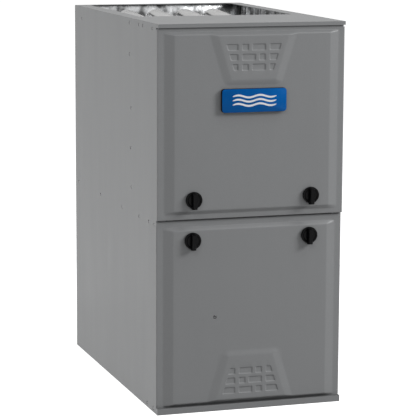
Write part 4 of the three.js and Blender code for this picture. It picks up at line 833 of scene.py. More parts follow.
def circle(radius: float, count: int, start: float = 0.0) -> list[tuple[float, float]]:
    """Points evenly round a circle."""
    angles = (start + 2 * math.pi * k / count for k in range(count))
    return [(radius * math.cos(angle), radius * math.sin(angle)) for angle in angles]


def rounded_outline(half_u: float, half_v: float, radius: float, steps: int = 6) -> list[tuple[float, float]]:
    """A rectangle about the origin with round corners.

    Args:
        half_u: Half its first side.
        half_v: Half its second side.
        radius: Radius of its corners.
        steps: Steps in each corner.

    Returns:
        Its points, in order.
    """
    outline = []
    for quarter, (su, sv) in enumerate([(1, 1), (-1, 1), (-1, -1), (1, -1)]):
        for k in range(steps + 1):
            angle = (quarter + k / steps) * math.pi / 2
            u = su * (half_u - radius) + radius * math.cos(angle)
            v = sv * (half_v - radius) + radius * math.sin(angle)
            outline.append((u, v))
    return outline


def spread(count: int, pitch: float) -> list[float]:
    """Places one pitch apart, centred on nothing."""
    return [(k - (count - 1) / 2) * pitch for k in range(count)]


def dress(node: str, finish: Finish, edge: float = 0.5 * MM) -> bpy.types.Object:
    """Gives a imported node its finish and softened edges.

    Args:
        node: The node's name.
        finish: What it is made of.
        edge: Radius of its edges, or nothing to leave them.

    Returns:
        The node's object.
    """
    piece = frame["nodes"][node]
    if not piece.material_slots:
        piece.data.materials.append(finish.material())
    for place in piece.material_slots:
        place.material = finish.material()
    weld = piece.modifiers.new("weld", "WELD")
    weld.merge_threshold = 0.01 * MM
    if edge > 0:
        bevel = piece.modifiers.new("edges", "BEVEL")
        bevel.width = edge
        bevel.segments = 2
        bevel.limit_method = "ANGLE"
        bevel.angle_limit = math.radians(35)
    LOG.info("%s: packed node, %s", node, finish.name)
    return piece


# ------------------------------------------------------------------ doors


@dataclass(frozen=True)
class Hole:
    """A round hole in a door, inside a square of flat sheet."""

    x: float
    z: float
    radius: float
    square: float

    def reaches(self, point: Vector, share: float = 1.0) -> bool:
        """True where a point lies within that share of the square."""
        return max(abs(point.x - self.x), abs(point.z - self.z)) < self.square * share

    def angle(self, point: Vector) -> float:
        """Where a point lies round the hole, in radians."""
        return math.atan2(point.z - self.z, point.x - self.x)


@dataclass(frozen=True)
class Column:
    """An upright grid line of a door, which may lean with the raised panel's sides."""

    side: int
    base: float
    leans: bool = False
    from_distance: float = 0.0

    def x(self, distance: float, flare: float, reach: float) -> float:
        """Its place at a distance from the panel's narrow end."""
        lean = flare * min(max(distance, self.from_distance), reach) if self.leans else 0.0
        return self.side * (self.base + lean)


def soft_ramp(distance: float, width: float, fillet: float) -> float:
    """A slope from nothing to one with rounded ends.

    Args:
        distance: How far past the slope's foot.
        width: How long the slope is.
        fillet: Half the length of each rounded end.

    Returns:
        The share of the rise.
    """
    if distance <= -fillet:
        return 0.0
    if distance >= width + fillet:
        return 1.0
    if distance < fillet:
        return (distance + fillet) ** 2 / (4 * fillet * width)
    if distance > width - fillet:
        return 1.0 - (width + fillet - distance) ** 2 / (4 * fillet * width)
    return distance / width


def rounded_least(first: float, second: float, radius: float) -> float:
    """The lesser of two shares, with the corner between them rounded.

    Args:
        first: One share.
        second: The other share.
        radius: How far from the edge the rounding starts.

    Returns:
        The share at the corner, below nothing outside the rounding.
    """
    if first < radius and second < radius:
        return radius - math.hypot(radius - first, radius - second)
    return min(first, second)


@dataclass
class PressedDoor:
    """A pressed steel door: flat border, raised field, raised grille panel and pressed slots."""

    node: str
    panel_up: bool
    bottom_border: float
    bottom_bevel: float
    top_border: float
    top_bevel: float
    notch: tuple[float, float]
    panel_length: float
    first_slot: float
    holes: tuple[Hole, ...] = ()
    side_border: float = 15.5 * MM
    side_bevel: float = 22 * MM
    field_rise: float = 8 * MM
    panel_rise: float = 4.2 * MM
    panel_half: float = 68 * MM
    panel_flare: float = 0.31
    panel_side_bevel: float = 19 * MM
    panel_end_bevel: float = 13 * MM
    slot_rows: int = 3
    slot_pitch: float = 22.5 * MM
    slot_height: float = 15 * MM
    slot_depth: float = 2 * MM
    slot_wall: float = 1.3 * MM
    slot_corner: float = 2.4 * MM
    slot_margin: float = 12 * MM
    slot_bridge: float = 9 * MM
    middle_half: float = 28.1 * MM
    middle_bridge: float = 7.5 * MM
    middle_short: float = 16 * MM
    fillet: float = 2.2 * MM
    fold: float = 1.5 * MM
    notch_step: float = 2.5 * MM
    plain_columns: tuple[float, ...] = (0.114, 0.163, 0.174, 0.195)
    plain_pitch: float = 9 * MM
    plain_clear: float = 8 * MM
    lean_from: float = 26 * MM
    order_distance: float = 35 * MM
    line_gap: float = 0.12 * MM
    extent: Extent = field(init=False)

    def __post_init__(self) -> None:
        """Reads the door's place from the frame."""
        self.extent = Extent.of(self.node)
        self.half = self.extent.high.x
        self.bottom, self.top = self.extent.low.z, self.extent.high.z
        self.border_y = self.extent.low.y + self.field_rise + self.panel_rise
        self.field_top = self.top - self.top_border - self.top_bevel
        self.field_bottom = self.bottom + self.bottom_border + self.bottom_bevel

    def distance(self, z: float) -> float:
        """Distance of a height from the raised panel's narrow end, towards its wide end."""
        if self.panel_up:
            return z - (self.field_top - self.panel_length)
        return self.field_bottom + self.panel_length - z

    def height_at(self, distance: float) -> float:
        """The height at a distance from the raised panel's narrow end."""
        if self.panel_up:
            return self.field_top - self.panel_length + distance
        return self.field_bottom + self.panel_length - distance

    def _field(self, x: float, z: float) -> float:
        """Share of the field's rise at a point."""
        side = soft_ramp(self.half - abs(x) - self.side_border, self.side_bevel, self.fillet)
        foot = soft_ramp(z - self.bottom - self.bottom_border, self.bottom_bevel, self.fillet)
        head = soft_ramp(self.top - self.top_border - z, self.top_bevel, self.fillet * 0.8)
        return max(0.0, min(rounded_least(side, foot, 0.5), rounded_least(side, head, 0.5)))

    def _panel(self, x: float, z: float) -> float:
        """Share of the raised panel's rise at a point."""
        along = self.distance(z)
        slope = (self.top_bevel if self.panel_up else self.bottom_bevel) / self.field_rise
        edge = self.panel_half + self.panel_flare * min(max(along, 0.0), self.panel_length) - abs(x)
        side = soft_ramp(edge, self.panel_side_bevel, self.fillet * 1.3)
        narrow = soft_ramp(along, self.panel_end_bevel, self.fillet * 1.3)
        wide = soft_ramp(self.panel_length - along, slope * self.panel_rise, self.fillet * 0.5)
        return max(0.0, min(rounded_least(side, narrow, 0.8), rounded_least(side, wide, 0.4)))

    def _slots(self, row: int) -> list[tuple[tuple[float, float, float], tuple[float, float, float]]]:
        """Each slot of a row as its left and right edges: side, base and lean."""
        outer = self.panel_half - self.panel_side_bevel - self.slot_margin
        inner = self.middle_half + self.slot_bridge
        long = 2 * self.middle_half - self.middle_bridge - self.middle_short
        first = self.middle_short if (row % 2 == 0) == self.panel_up else long
        split = -self.middle_half + first
        flare = self.panel_flare
        return [
            ((-1, outer, flare), (-1, inner, 0.0)),
            ((1, -self.middle_half, 0.0), (1, split, 0.0)),
            ((1, split + self.middle_bridge, 0.0), (1, self.middle_half, 0.0)),
            ((1, inner, 0.0), (1, outer, flare)),
        ]

    def _pressing(self, x: float, z: float) -> float:
        """Share of the slots' depth at a point."""
        along = self.distance(z)
        row = round((along - self.first_slot) / self.slot_pitch)
        if not 0 <= row < self.slot_rows:
            return 0.0
        level = self.slot_height / 2 - abs(along - self.first_slot - row * self.slot_pitch)
        best = 0.0
        for left, right in self._slots(row):
            inside = [x - side * (base + lean * along) for side, base, lean in (left, right)]
            near = min(inside[0], -inside[1])
            corner = rounded_least(near, level, self.slot_corner)
            best = max(best, soft_ramp(corner, self.slot_wall, 0.55 * MM))
        return best

    def y(self, x: float, z: float) -> float:
        """The door's front at a point."""
        rise = self.field_rise * self._field(x, z) + self.panel_rise * self._panel(x, z)
        return self.border_y - rise + self.slot_depth * self._pressing(x, z)

    def _walls(self, edge: float, inward: int) -> list[float]:
        """Grid lines that a slot's wall needs about an edge."""
        steps = (-0.7 * MM, -0.1 * MM, 0.5 * MM, 1.1 * MM, 1.9 * MM, 3.4 * MM)
        return [edge + inward * step for step in steps]

    def _columns(self) -> list[Column]:
        """Grid lines of one half, from the middle out."""
        split = self.middle_half - self.middle_short
        upright = [0.0]
        upright += self._walls(split - self.middle_bridge, -1) + self._walls(split, 1)
        upright += self._walls(self.middle_half, -1)
        upright += self._walls(self.middle_half + self.slot_bridge, 1)
        bevel = self.half - self.side_border - self.side_bevel
        upright += [bevel + step * self.fillet for step in (-1, -0.4, 0.2, 1)]
        upright += [self.half - self.side_border + step * self.fillet for step in (-1, 0, 0.5, 1)]
        upright += [self.half - self.notch_step - self.fold, self.half - self.fold]
        for hole in self.holes:
            upright += [abs(hole.x) + step * hole.square for step in (-1, -0.5, 0, 0.5, 1)]
        upright += self.plain_columns
        columns = [Column(1, base) for base in upright]
        outer = self.panel_half - self.panel_side_bevel
        wall = self._walls(outer - self.slot_margin, -1)
        columns += [Column(1, base, True, self.lean_from) for base in wall]
        round_end = self.fillet * 1.3
        columns += [Column(1, outer + step * round_end, True) for step in (-1, -0.4, 0.3, 1)]
        columns += [Column(1, outer + self.panel_side_bevel * share, True) for share in (0.4, 0.7)]
        columns += [Column(1, self.panel_half + step * round_end, True) for step in (-1, -0.3, 0.4, 1)]
        reach = self.panel_length
        return sorted(columns, key=lambda line: line.x(self.order_distance, self.panel_flare, reach))

    def _rows(self) -> list[float]:
        """Heights of the grid's level lines."""
        rows = {self.bottom + self.fold, self.top - self.fold}
        for edge, way in ((self.bottom + self.bottom_border, 1), (self.top - self.top_border, -1)):
            bevel = self.bottom_bevel if way > 0 else self.top_bevel
            for place in (edge, edge + way * bevel):
                rows |= {place + step * self.fillet for step in (-1, -0.5, 0, 0.5, 1)}
        rows |= {self.height_at(self.panel_length - step * MM) for step in (-1, 0, 1, 2, 3, 4, 6)}
        for end in (0.0, self.panel_end_bevel):
            rows |= {self.height_at(end + step * self.fillet * 1.3) for step in (-1, -0.4, 0.2, 1)}
        rows |= {self.height_at(self.panel_end_bevel * share) for share in (0.35, 0.65)}
        for row in range(self.slot_rows):
            middle = self.first_slot + row * self.slot_pitch
            for way in (-1, 1):
                edge = middle + way * self.slot_height / 2
                rows |= {self.height_at(place) for place in self._walls(edge, -way)}
        for hole in self.holes:
            rows |= {hole.z + step * hole.square for step in (-1, -0.5, 0, 0.5, 1)}
        rows.add(self.notch[0] - self.fold if self.panel_up else self.notch[1] + self.fold)
        margin = 0.03
        plain = self.bottom + margin
        while plain < self.top - margin:
            if all(abs(plain - row) > self.plain_clear for row in rows):
                rows.add(plain)
            plain += self.plain_pitch
        kept: list[float] = []
        for row in sorted(rows):
            if not kept or row - kept[-1] > self.line_gap:
                kept.append(row)
        return [row for row in kept if self.bottom + self.fold <= row <= self.top - self.fold]

    def _line(self, z: float, columns: list[Column]) -> list[float]:
        """Where the columns cross one level line, kept in order."""
        along = self.distance(z)
        places = []
        for column in columns:
            x = column.x(along, self.panel_flare, self.panel_length)
            places.append(max(x, places[-1] + self.line_gap) if places else x)
        limit = self.half - self.fold
        for k in range(len(places) - 1, -1, -1):
            places[k] = min(places[k], limit)
            limit = places[k] - 0.1 * MM
        return [-x for x in reversed(places[1:])] + places

    def _face(self, form: Form, depth: float, fold: float, turned: bool) -> tuple[list, list]:
        """One face of the sheet with its folded edge.

        Args:
            form: The form that takes it.
            depth: How far behind the front this face lies.
            fold: Radius of its folded edge.
            turned: True for the rear face.

        Returns:
            The rim's pairs of points in order, and each hole's ring.
        """
        mesh = form.mesh
        columns = self._columns()
        grid = []
        for z in self._rows():
            line = self._line(z, columns)
            grid.append([mesh.verts.new((x, self.y(x, z) + depth, z)) for x in line])
        faces = []
        for low, high in zip(grid, grid[1:]):
            for k in range(len(low) - 1):
                quad = [low[k], low[k + 1], high[k + 1], high[k]]
                centre = sum((vert.co for vert in quad), Vector()) / 4
                if not self._left_out(centre):
                    faces.append(mesh.faces.new(quad[::-1] if turned else quad))
        for vert in [vert for line in grid for vert in line if not vert.link_faces]:
            mesh.verts.remove(vert)
        edges = [edge for face in faces for edge in face.edges if edge.is_boundary]
        rings = [self._ring(mesh, edges, hole, turned) for hole in self.holes]
        outer = [edge for edge in edges if edge.is_valid and edge.is_boundary and not self._by_hole(edge)]
        return self._folded(mesh, outer, fold), rings

    def _left_out(self, centre: Vector) -> bool:
        """True where the grid has a hole's square or a notch."""
        if any(hole.reaches(centre) for hole in self.holes):
            return True
        beside = abs(centre.x) > self.half - self.notch_step - self.fold
        if self.panel_up:
            return beside and centre.z > self.notch[0] - self.fold
        return beside and centre.z < self.notch[1] + self.fold

    def _by_hole(self, edge: bmesh.types.BMEdge) -> bool:
        """True for an edge of a hole's square."""
        middle = (edge.verts[0].co + edge.verts[1].co) / 2
        return any(hole.reaches(middle, SQUARE_REACH) for hole in self.holes)

    def _ring(self, mesh: bmesh.types.BMesh, edges: list, hole: Hole, turned: bool) -> list:
        """Fills a hole's square out to a circle and gives the circle."""
        near = {vert for edge in edges for vert in edge.verts if hole.reaches(vert.co, SQUARE_REACH)}
        square = sorted(near, key=lambda vert: hole.angle(vert.co))
        ring = []
        for vert in square:
            angle = hole.angle(vert.co)
            x = hole.x + hole.radius * math.cos(angle)
            z = hole.z + hole.radius * math.sin(angle)
            ring.append(mesh.verts.new((x, vert.co.y, z)))
        for k, vert in enumerate(square):
            after = (k + 1) % len(square)
            quad = [vert, square[after], ring[after], ring[k]]
            mesh.faces.new(quad if turned else quad[::-1])
        return ring

    def _folded(self, mesh: bmesh.types.BMesh, edges: list, fold: float) -> list:
        """Folds the outer edge back to the door's rear and gives the rim's edges as pairs."""
        outward: dict = {}
        pairs = []
        for edge in edges:
            loop = edge.link_loops[0]
            first, second = loop.vert, loop.link_loop_next.vert
            along = (second.co - first.co).normalized()
            away = (first.co + second.co) / 2 - loop.face.calc_center_median()
            away.y = 0
            along.y = 0
            away = (away - along.normalized() * away.dot(along.normalized())).normalized()
            for vert in (first, second):
                outward.setdefault(vert, []).append(away)
            pairs.append((first, second))
        push = {}
        for vert, normals in outward.items():
            same = len(normals) == 1 or normals[0].dot(normals[1]) > 0.7
            push[vert] = normals[0] if same else normals[0] + normals[1]
        steps = 3
        ring = {vert: vert for vert in push}
        for k in range(1, steps + 2):
            angle = min(k, steps) * math.pi / 2 / steps
            after = {}
            for vert, way in push.items():
                place = vert.co + way * fold * math.sin(angle)
                place.y = vert.co.y + fold * (1 - math.cos(angle)) if k <= steps else self.extent.high.y
                after[vert] = mesh.verts.new(place)
            for first, second in pairs:
                mesh.faces.new([ring[second], ring[first], after[first], after[second]])
            ring = after
        return [(ring[first], ring[second]) for first, second in pairs]

    def build(self) -> bpy.types.Object:
        """Makes the door's sheet with both its faces.

        Returns:
            The door.
        """
        form = Form()
        front, front_holes = self._face(form, 0.0, self.fold, False)
        rear, rear_holes = self._face(form, SHEET, self.fold - SHEET, True)
        for first, second in front:
            match = min(rear, key=lambda pair: self._gap(pair, first, second))
            ends = sorted(match, key=lambda vert: (vert.co - first.co).length)
            form.mesh.faces.new([first, second, ends[1], ends[0]])
        for ring, back in zip(front_holes, rear_holes):
            form.skin(ring, back, len(ring))
        return form.done(f"{self.node}_pressing", PAINT, body_of(self.node), [self.node], sharp=50)

    @staticmethod
    def _gap(pair: tuple, first: bmesh.types.BMVert, second: bmesh.types.BMVert) -> float:
        """How far a rim edge lies from another."""
        middle = (first.co + second.co) / 2
        return ((pair[0].co + pair[1].co) / 2 - middle).length


@dataclass
class Badge:
    """Raised plate on the upper door: a black body, a blue face and three plain waves of air."""

    node: str = "badge_plate"
    corner: float = 7 * MM
    face: float = 2.0 * MM
    inset: float = 0.6 * MM
    wave_count: int = 3
    wave_pitch: float = 9.5 * MM
    wave_length: float = 104 * MM
    wave_height: float = 2.6 * MM
    wave_width: float = 4.4 * MM
    wave_rise: float = 0.25 * MM

    def build(self) -> None:
        """Makes the plate's three pieces."""
        extent = Extent.of(self.node)
        half = extent.size / 2
        middle = extent.middle
        body = body_of(self.node)
        front = extent.low.y + self.wave_rise
        base = Form()
        outline = self._outline(half, middle, 0.0)
        base.prism(outline, Axis.Y, front + self.face, extent.high.y, 0.4 * MM)
        base.done("badge_body", BLACK_PLASTIC, body, [self.node])
        face = Form()
        outline = self._outline(half, middle, self.inset)
        face.prism(outline, Axis.Y, front, front + self.face, 0.5 * MM)
        face.done("badge_face", BADGE_BLUE, body)
        waves = Form()
        for lift in spread(self.wave_count, self.wave_pitch):
            self._wave(waves, middle, lift, front)
        waves.done("badge_waves", BADGE_WHITE, body)

    def _outline(self, half: Vector, middle: Vector, inset: float) -> list[tuple[float, float]]:
        """The plate's outline drawn in by an inset."""
        outline = rounded_outline(half.z - inset, half.x - inset, self.corner - inset)
        return [(z + middle.z, x + middle.x) for z, x in outline]

    def _wave(self, form: Form, middle: Vector, lift: float, front: float) -> None:
        """Adds one wave as a flat ribbon with round ends."""
        steps = 48
        upper, lower = [], []
        for k in range(steps + 1):
            share = k / steps
            x = (share - 0.5) * self.wave_length
            z = lift + self.wave_height * math.sin(share * 4 * math.pi)
            half = self.wave_width / 2 * math.sqrt(max(1 - abs(2 * share - 1) ** 8, 0.04))
            upper.append((z + half + middle.z, x + middle.x))
            lower.append((z - half + middle.z, x + middle.x))
        form.prism([*upper, *reversed(lower)], Axis.Y, front - self.wave_rise, front + self.wave_rise)


@dataclass
class TurnKnob:
    """Quarter turn knob: a dished disc with a tapered grip bar across it."""

    node: str
    skirt: float = 8 * MM
    rim: float = 1.2 * MM
    dish: float = 1.6 * MM
    grip_half: float = 6 * MM
    grip_taper: float = 1.6 * MM
    shaft_radius: float = 4.7 * MM
    disc_face: float = 18 * MM
    grip_length: float = 38.5 * MM

    def build(self) -> bpy.types.Object:
        """Makes the knob and dresses the latch tongue on its shaft.

        Returns:
            The knob.
        """
        dress(self.node.replace("knob", "tongue"), ZINC_SCREW)
        extent = Extent.of(self.node)
        radius = extent.size.x / 2
        x = extent.middle.x
        z = extent.high.z - radius
        face = extent.low.y + self.disc_face
        front = face - self.skirt
        form = Form()
        profile = [
            (0, front + self.dish), (radius * 0.72, front + self.dish), (radius * 0.80, front + 0.2 * MM),
            (radius * 0.86, front), (radius - self.rim, front),
            (radius - 0.3 * MM, front + self.rim * 0.6), (radius, front + self.rim * 1.6),
            (radius - 0.5 * MM, face - 0.4 * MM), (radius - 1.6 * MM, face - 0.3 * MM),
            (0, face - 0.3 * MM),
        ]
        form.lathe(profile, Axis.Y, (x, 0, z), 64)
        self._grip(form, x, front + self.dish - 0.2 * MM, extent)
        form.rod(self.shaft_radius, face - MM, extent.high.y, Axis.Y, (x, 0, z), 24)
        return form.done(f"{self.node}_moulding", BLACK_PLASTIC, body_of(self.node), [self.node])

    def _grip(self, form: Form, x: float, base: float, extent: Extent) -> None:
        """Adds the grip bar, which narrows to its front."""
        low, high = extent.low.z, extent.low.z + self.grip_length
        tip = extent.low.y
        sections = ((base, 0.0), (tip + 1.4 * MM, self.grip_taper * 0.9), (tip, self.grip_taper + 0.9 * MM))
        rings = []
        for y, taper in sections:
            half = self.grip_half - taper
            outline = rounded_outline((high - low) / 2 - taper, half, 1.6 * MM, 4)
            middle = (low + high) / 2
            rings.append([form.mesh.verts.new((x + u, y, middle + v)) for v, u in outline])
        for ring, after in zip(rings, rings[1:]):
            form.skin(ring, after, len(ring))
        form.mesh.faces.new(rings[0])
        form.mesh.faces.new(rings[-1])


@dataclass
class SightWindow:
    """Round window in the lower door, in a flanged seat."""

    node: str = "sight_glass"
    radius: float = 4 * MM
    flange: float = 6.5 * MM

    def build(self) -> bpy.types.Object:
        """Makes the window.

        Returns:
            The window.
        """
        extent = Extent.of(self.node)
        front, rear = extent.low.y, extent.high.y
        step = rear - 2 * MM
        profile = [
            (0, front + 0.1 * MM), (self.radius * 0.6, front + 0.3 * MM),
            (self.radius * 0.9, front + 1.1 * MM), (self.radius, front + 1.4 * MM), (self.radius, step),
            (self.flange, step), (self.flange, rear), (0, rear),
        ]
        form = Form().lathe(profile, Axis.Y, (extent.middle.x, 0, extent.middle.z), 40)
        return form.done("sight_lens", LENS, body_of(self.node), [self.node])


# ------------------------------------------------------------------ cabinet


@dataclass
class Cabinet:
    """Folded cabinet with the screws in its walls and the lining of its upper half."""

    screw_radius: float = 3.1 * MM
    screw_clearance: float = 0.7 * MM
    left_screws: tuple[tuple[float, float], ...] = (
        (221, 681), (223, 587), (219, 495), (233, 805), (719, 437), (500, 436), (301, 435),
        (154, 436), (74, 437), (31, 436), (121, 878), (154, 878), (46, 877), (678, 859),
        (233, 877), (38, 9), (88, 9),
    )
    right_screws: tuple[tuple[float, float], ...] = (
        (221, 560), (223, 480), (219, 800), (719, 437), (500, 436), (301, 435),
        (154, 436), (31, 436), (154, 878), (46, 877), (678, 859), (88, 9),
    )
    lining: float = 5 * MM
    ribs: float = 39 * MM

    def build(self) -> None:
        """Dresses the sheets and adds screws, grommets and lining."""
        self.wrap = Extent.of("casing_wrap")
        self.front = Extent.of("top_deck").low.y
        dress("top_deck", PAINT, 0.9 * MM)
        dress("bottom_rail", PAINT, 0.0)
        # Painted shade: the mid rail behind the door seam takes black enamel so the narrow seam between the
        # doors reads dark.
        dress("mid_rail", BLACK_STEEL)
        for node in ("bottom_closure", "blower_deck", "cell_panel"):
            dress(node, ZINC)
        self._drill(dress("casing_wrap", PAINT, 0.0))
        self._screws()
        self._lining()
        self._grommets()
        self._panel_trim()

    def _places(self) -> list[tuple[int, Vector]]:
        """Each wall screw's side and place on the wall's outer face."""
        places = []
        for side, screws in ((-1, self.left_screws), (1, self.right_screws)):
            for back, rise in screws:
                place = Vector((side * self.wrap.high.x, self.front + back * MM, rise * MM))
                places.append((side, place))
        return places

    def _drill(self, wrap: bpy.types.Object) -> None:
        """Cuts a round seat for each screw through the wrap."""
        form = Form()
        radius = self.screw_radius + self.screw_clearance
        for side, place in self._places():
            form.rod(radius, -3 * MM, 3 * MM, Axis.X, place, 16)
        cutter = linked("screw_seats", form.data("screw_seats"))
        cutter.hide_render = True
        cutter.hide_viewport = True
        drill = wrap.modifiers.new("screw seats", "BOOLEAN")
        drill.operation = "DIFFERENCE"
        drill.object = cutter
        drill.solver = "EXACT"
        edges = wrap.modifiers.new("edges", "BEVEL")
        edges.width = 0.45 * MM
        edges.segments = 2
        edges.limit_method = "ANGLE"
        edges.angle_limit = math.radians(50)

    def _screws(self) -> None:
        """Sinks a hexagon screw in each seat, its washer against the sheet behind."""
        form = Form()
        for side, place in self._places():
            seat = place - Vector((side * 3.3 * MM, 0, 0))
            form.screw(seat, Axis.X, side, self.screw_radius)
        form.done("wall_screws", ZINC_SCREW)

    def _lining(self) -> None:
        """Ribbed bright shields along the walls beside the heat exchanger."""
        shelf = Extent.of("blower_deck").high.z
        panel = Extent.of("cell_panel").high.y
        inner = self.wrap.high.x - SHEET
        low, high = shelf + 6 * MM, self.wrap.high.z - 3 * MM
        start, end = panel + 4 * MM, self.wrap.high.y - 6 * MM
        for side, name in ((-1, "left"), (1, "right")):
            form = Form()
            profile = self._ribbed(start, end)
            outline = [(y, side * (inner - 0.4 * MM - rise)) for y, rise in profile]
            outline += [(y, side * (inner - 1.2 * MM - rise)) for y, rise in reversed(profile)]
            ordered = [(x, y) for y, x in outline]
            form.prism(ordered, Axis.Z, low, high)
            form.done(f"{name}_heat_shield", FOIL)
        form = Form()
        rear = self.wrap.high.y - SHEET - 0.5 * MM
        form.block((-inner + 8 * MM, rear - 3 * MM, low), (inner - 8 * MM, rear, high), 1.2 * MM)
        form.done("rear_heat_shield", FOIL)

    def _ribbed(self, start: float, end: float) -> list[tuple[float, float]]:
        """Places along a shield with the rise of its ribs."""
        profile = [(start, 0.0)]
        y = start + self.ribs * 0.5
        while y + self.ribs * 0.3 < end:
            for step, share in ((-7, 0.0), (-4, 0.75), (-1.5, 1.0), (1.5, 1.0), (4, 0.75), (7, 0.0)):
                profile.append((y + step * MM, share * self.lining * 0.6))
            y += self.ribs
        profile.append((end, 0.0))
        return profile

    def _grommets(self) -> None:
        """Rubber rings in the gas and power entries."""
        wall = self.wrap.high.x
        valve = Extent.of("gas_valve")
        junction = Extent.of("junction_box")
        entries = (
            ("gas", valve.middle.y, valve.middle.z - 4.5 * MM, 22 * MM),
            ("power", junction.middle.y, junction.middle.z, 11 * MM),
        )
        deep, flush = -4.5 * MM, -0.1 * MM
        for name, y, z, radius in entries:
            inner = radius * 0.72
            profile = [
                (inner, deep), (radius - 0.3 * MM, deep), (radius - 0.3 * MM, flush),
                (inner + 0.8 * MM, flush), (inner, -0.9 * MM), (inner, deep),
            ]
            form = Form().lathe(profile, Axis.X, (wall, y, z), 40)
            form.done(f"{name}_grommet", RUBBER)

    def _panel_trim(self) -> None:
        """Screws along the sides and the top of the plate that carries the exchanger."""
        form = Form()
        panel = Extent.of("cell_panel")
        front = panel.high.y - SHEET
        for z in (0.47, 0.6, 0.73, 0.86):
            for side in (-1, 1):
                place = (side * (panel.high.x - 9 * MM), front, z)
                form.screw(place, Axis.Y, -1, 4.2 * MM)
        for x in spread(3, 0.19):
            form.screw((x, front, 0.878), Axis.Y, -1, 4.2 * MM)
        form.done("panel_screws", ZINC_SCREW)


# ------------------------------------------------------------------ heat exchange


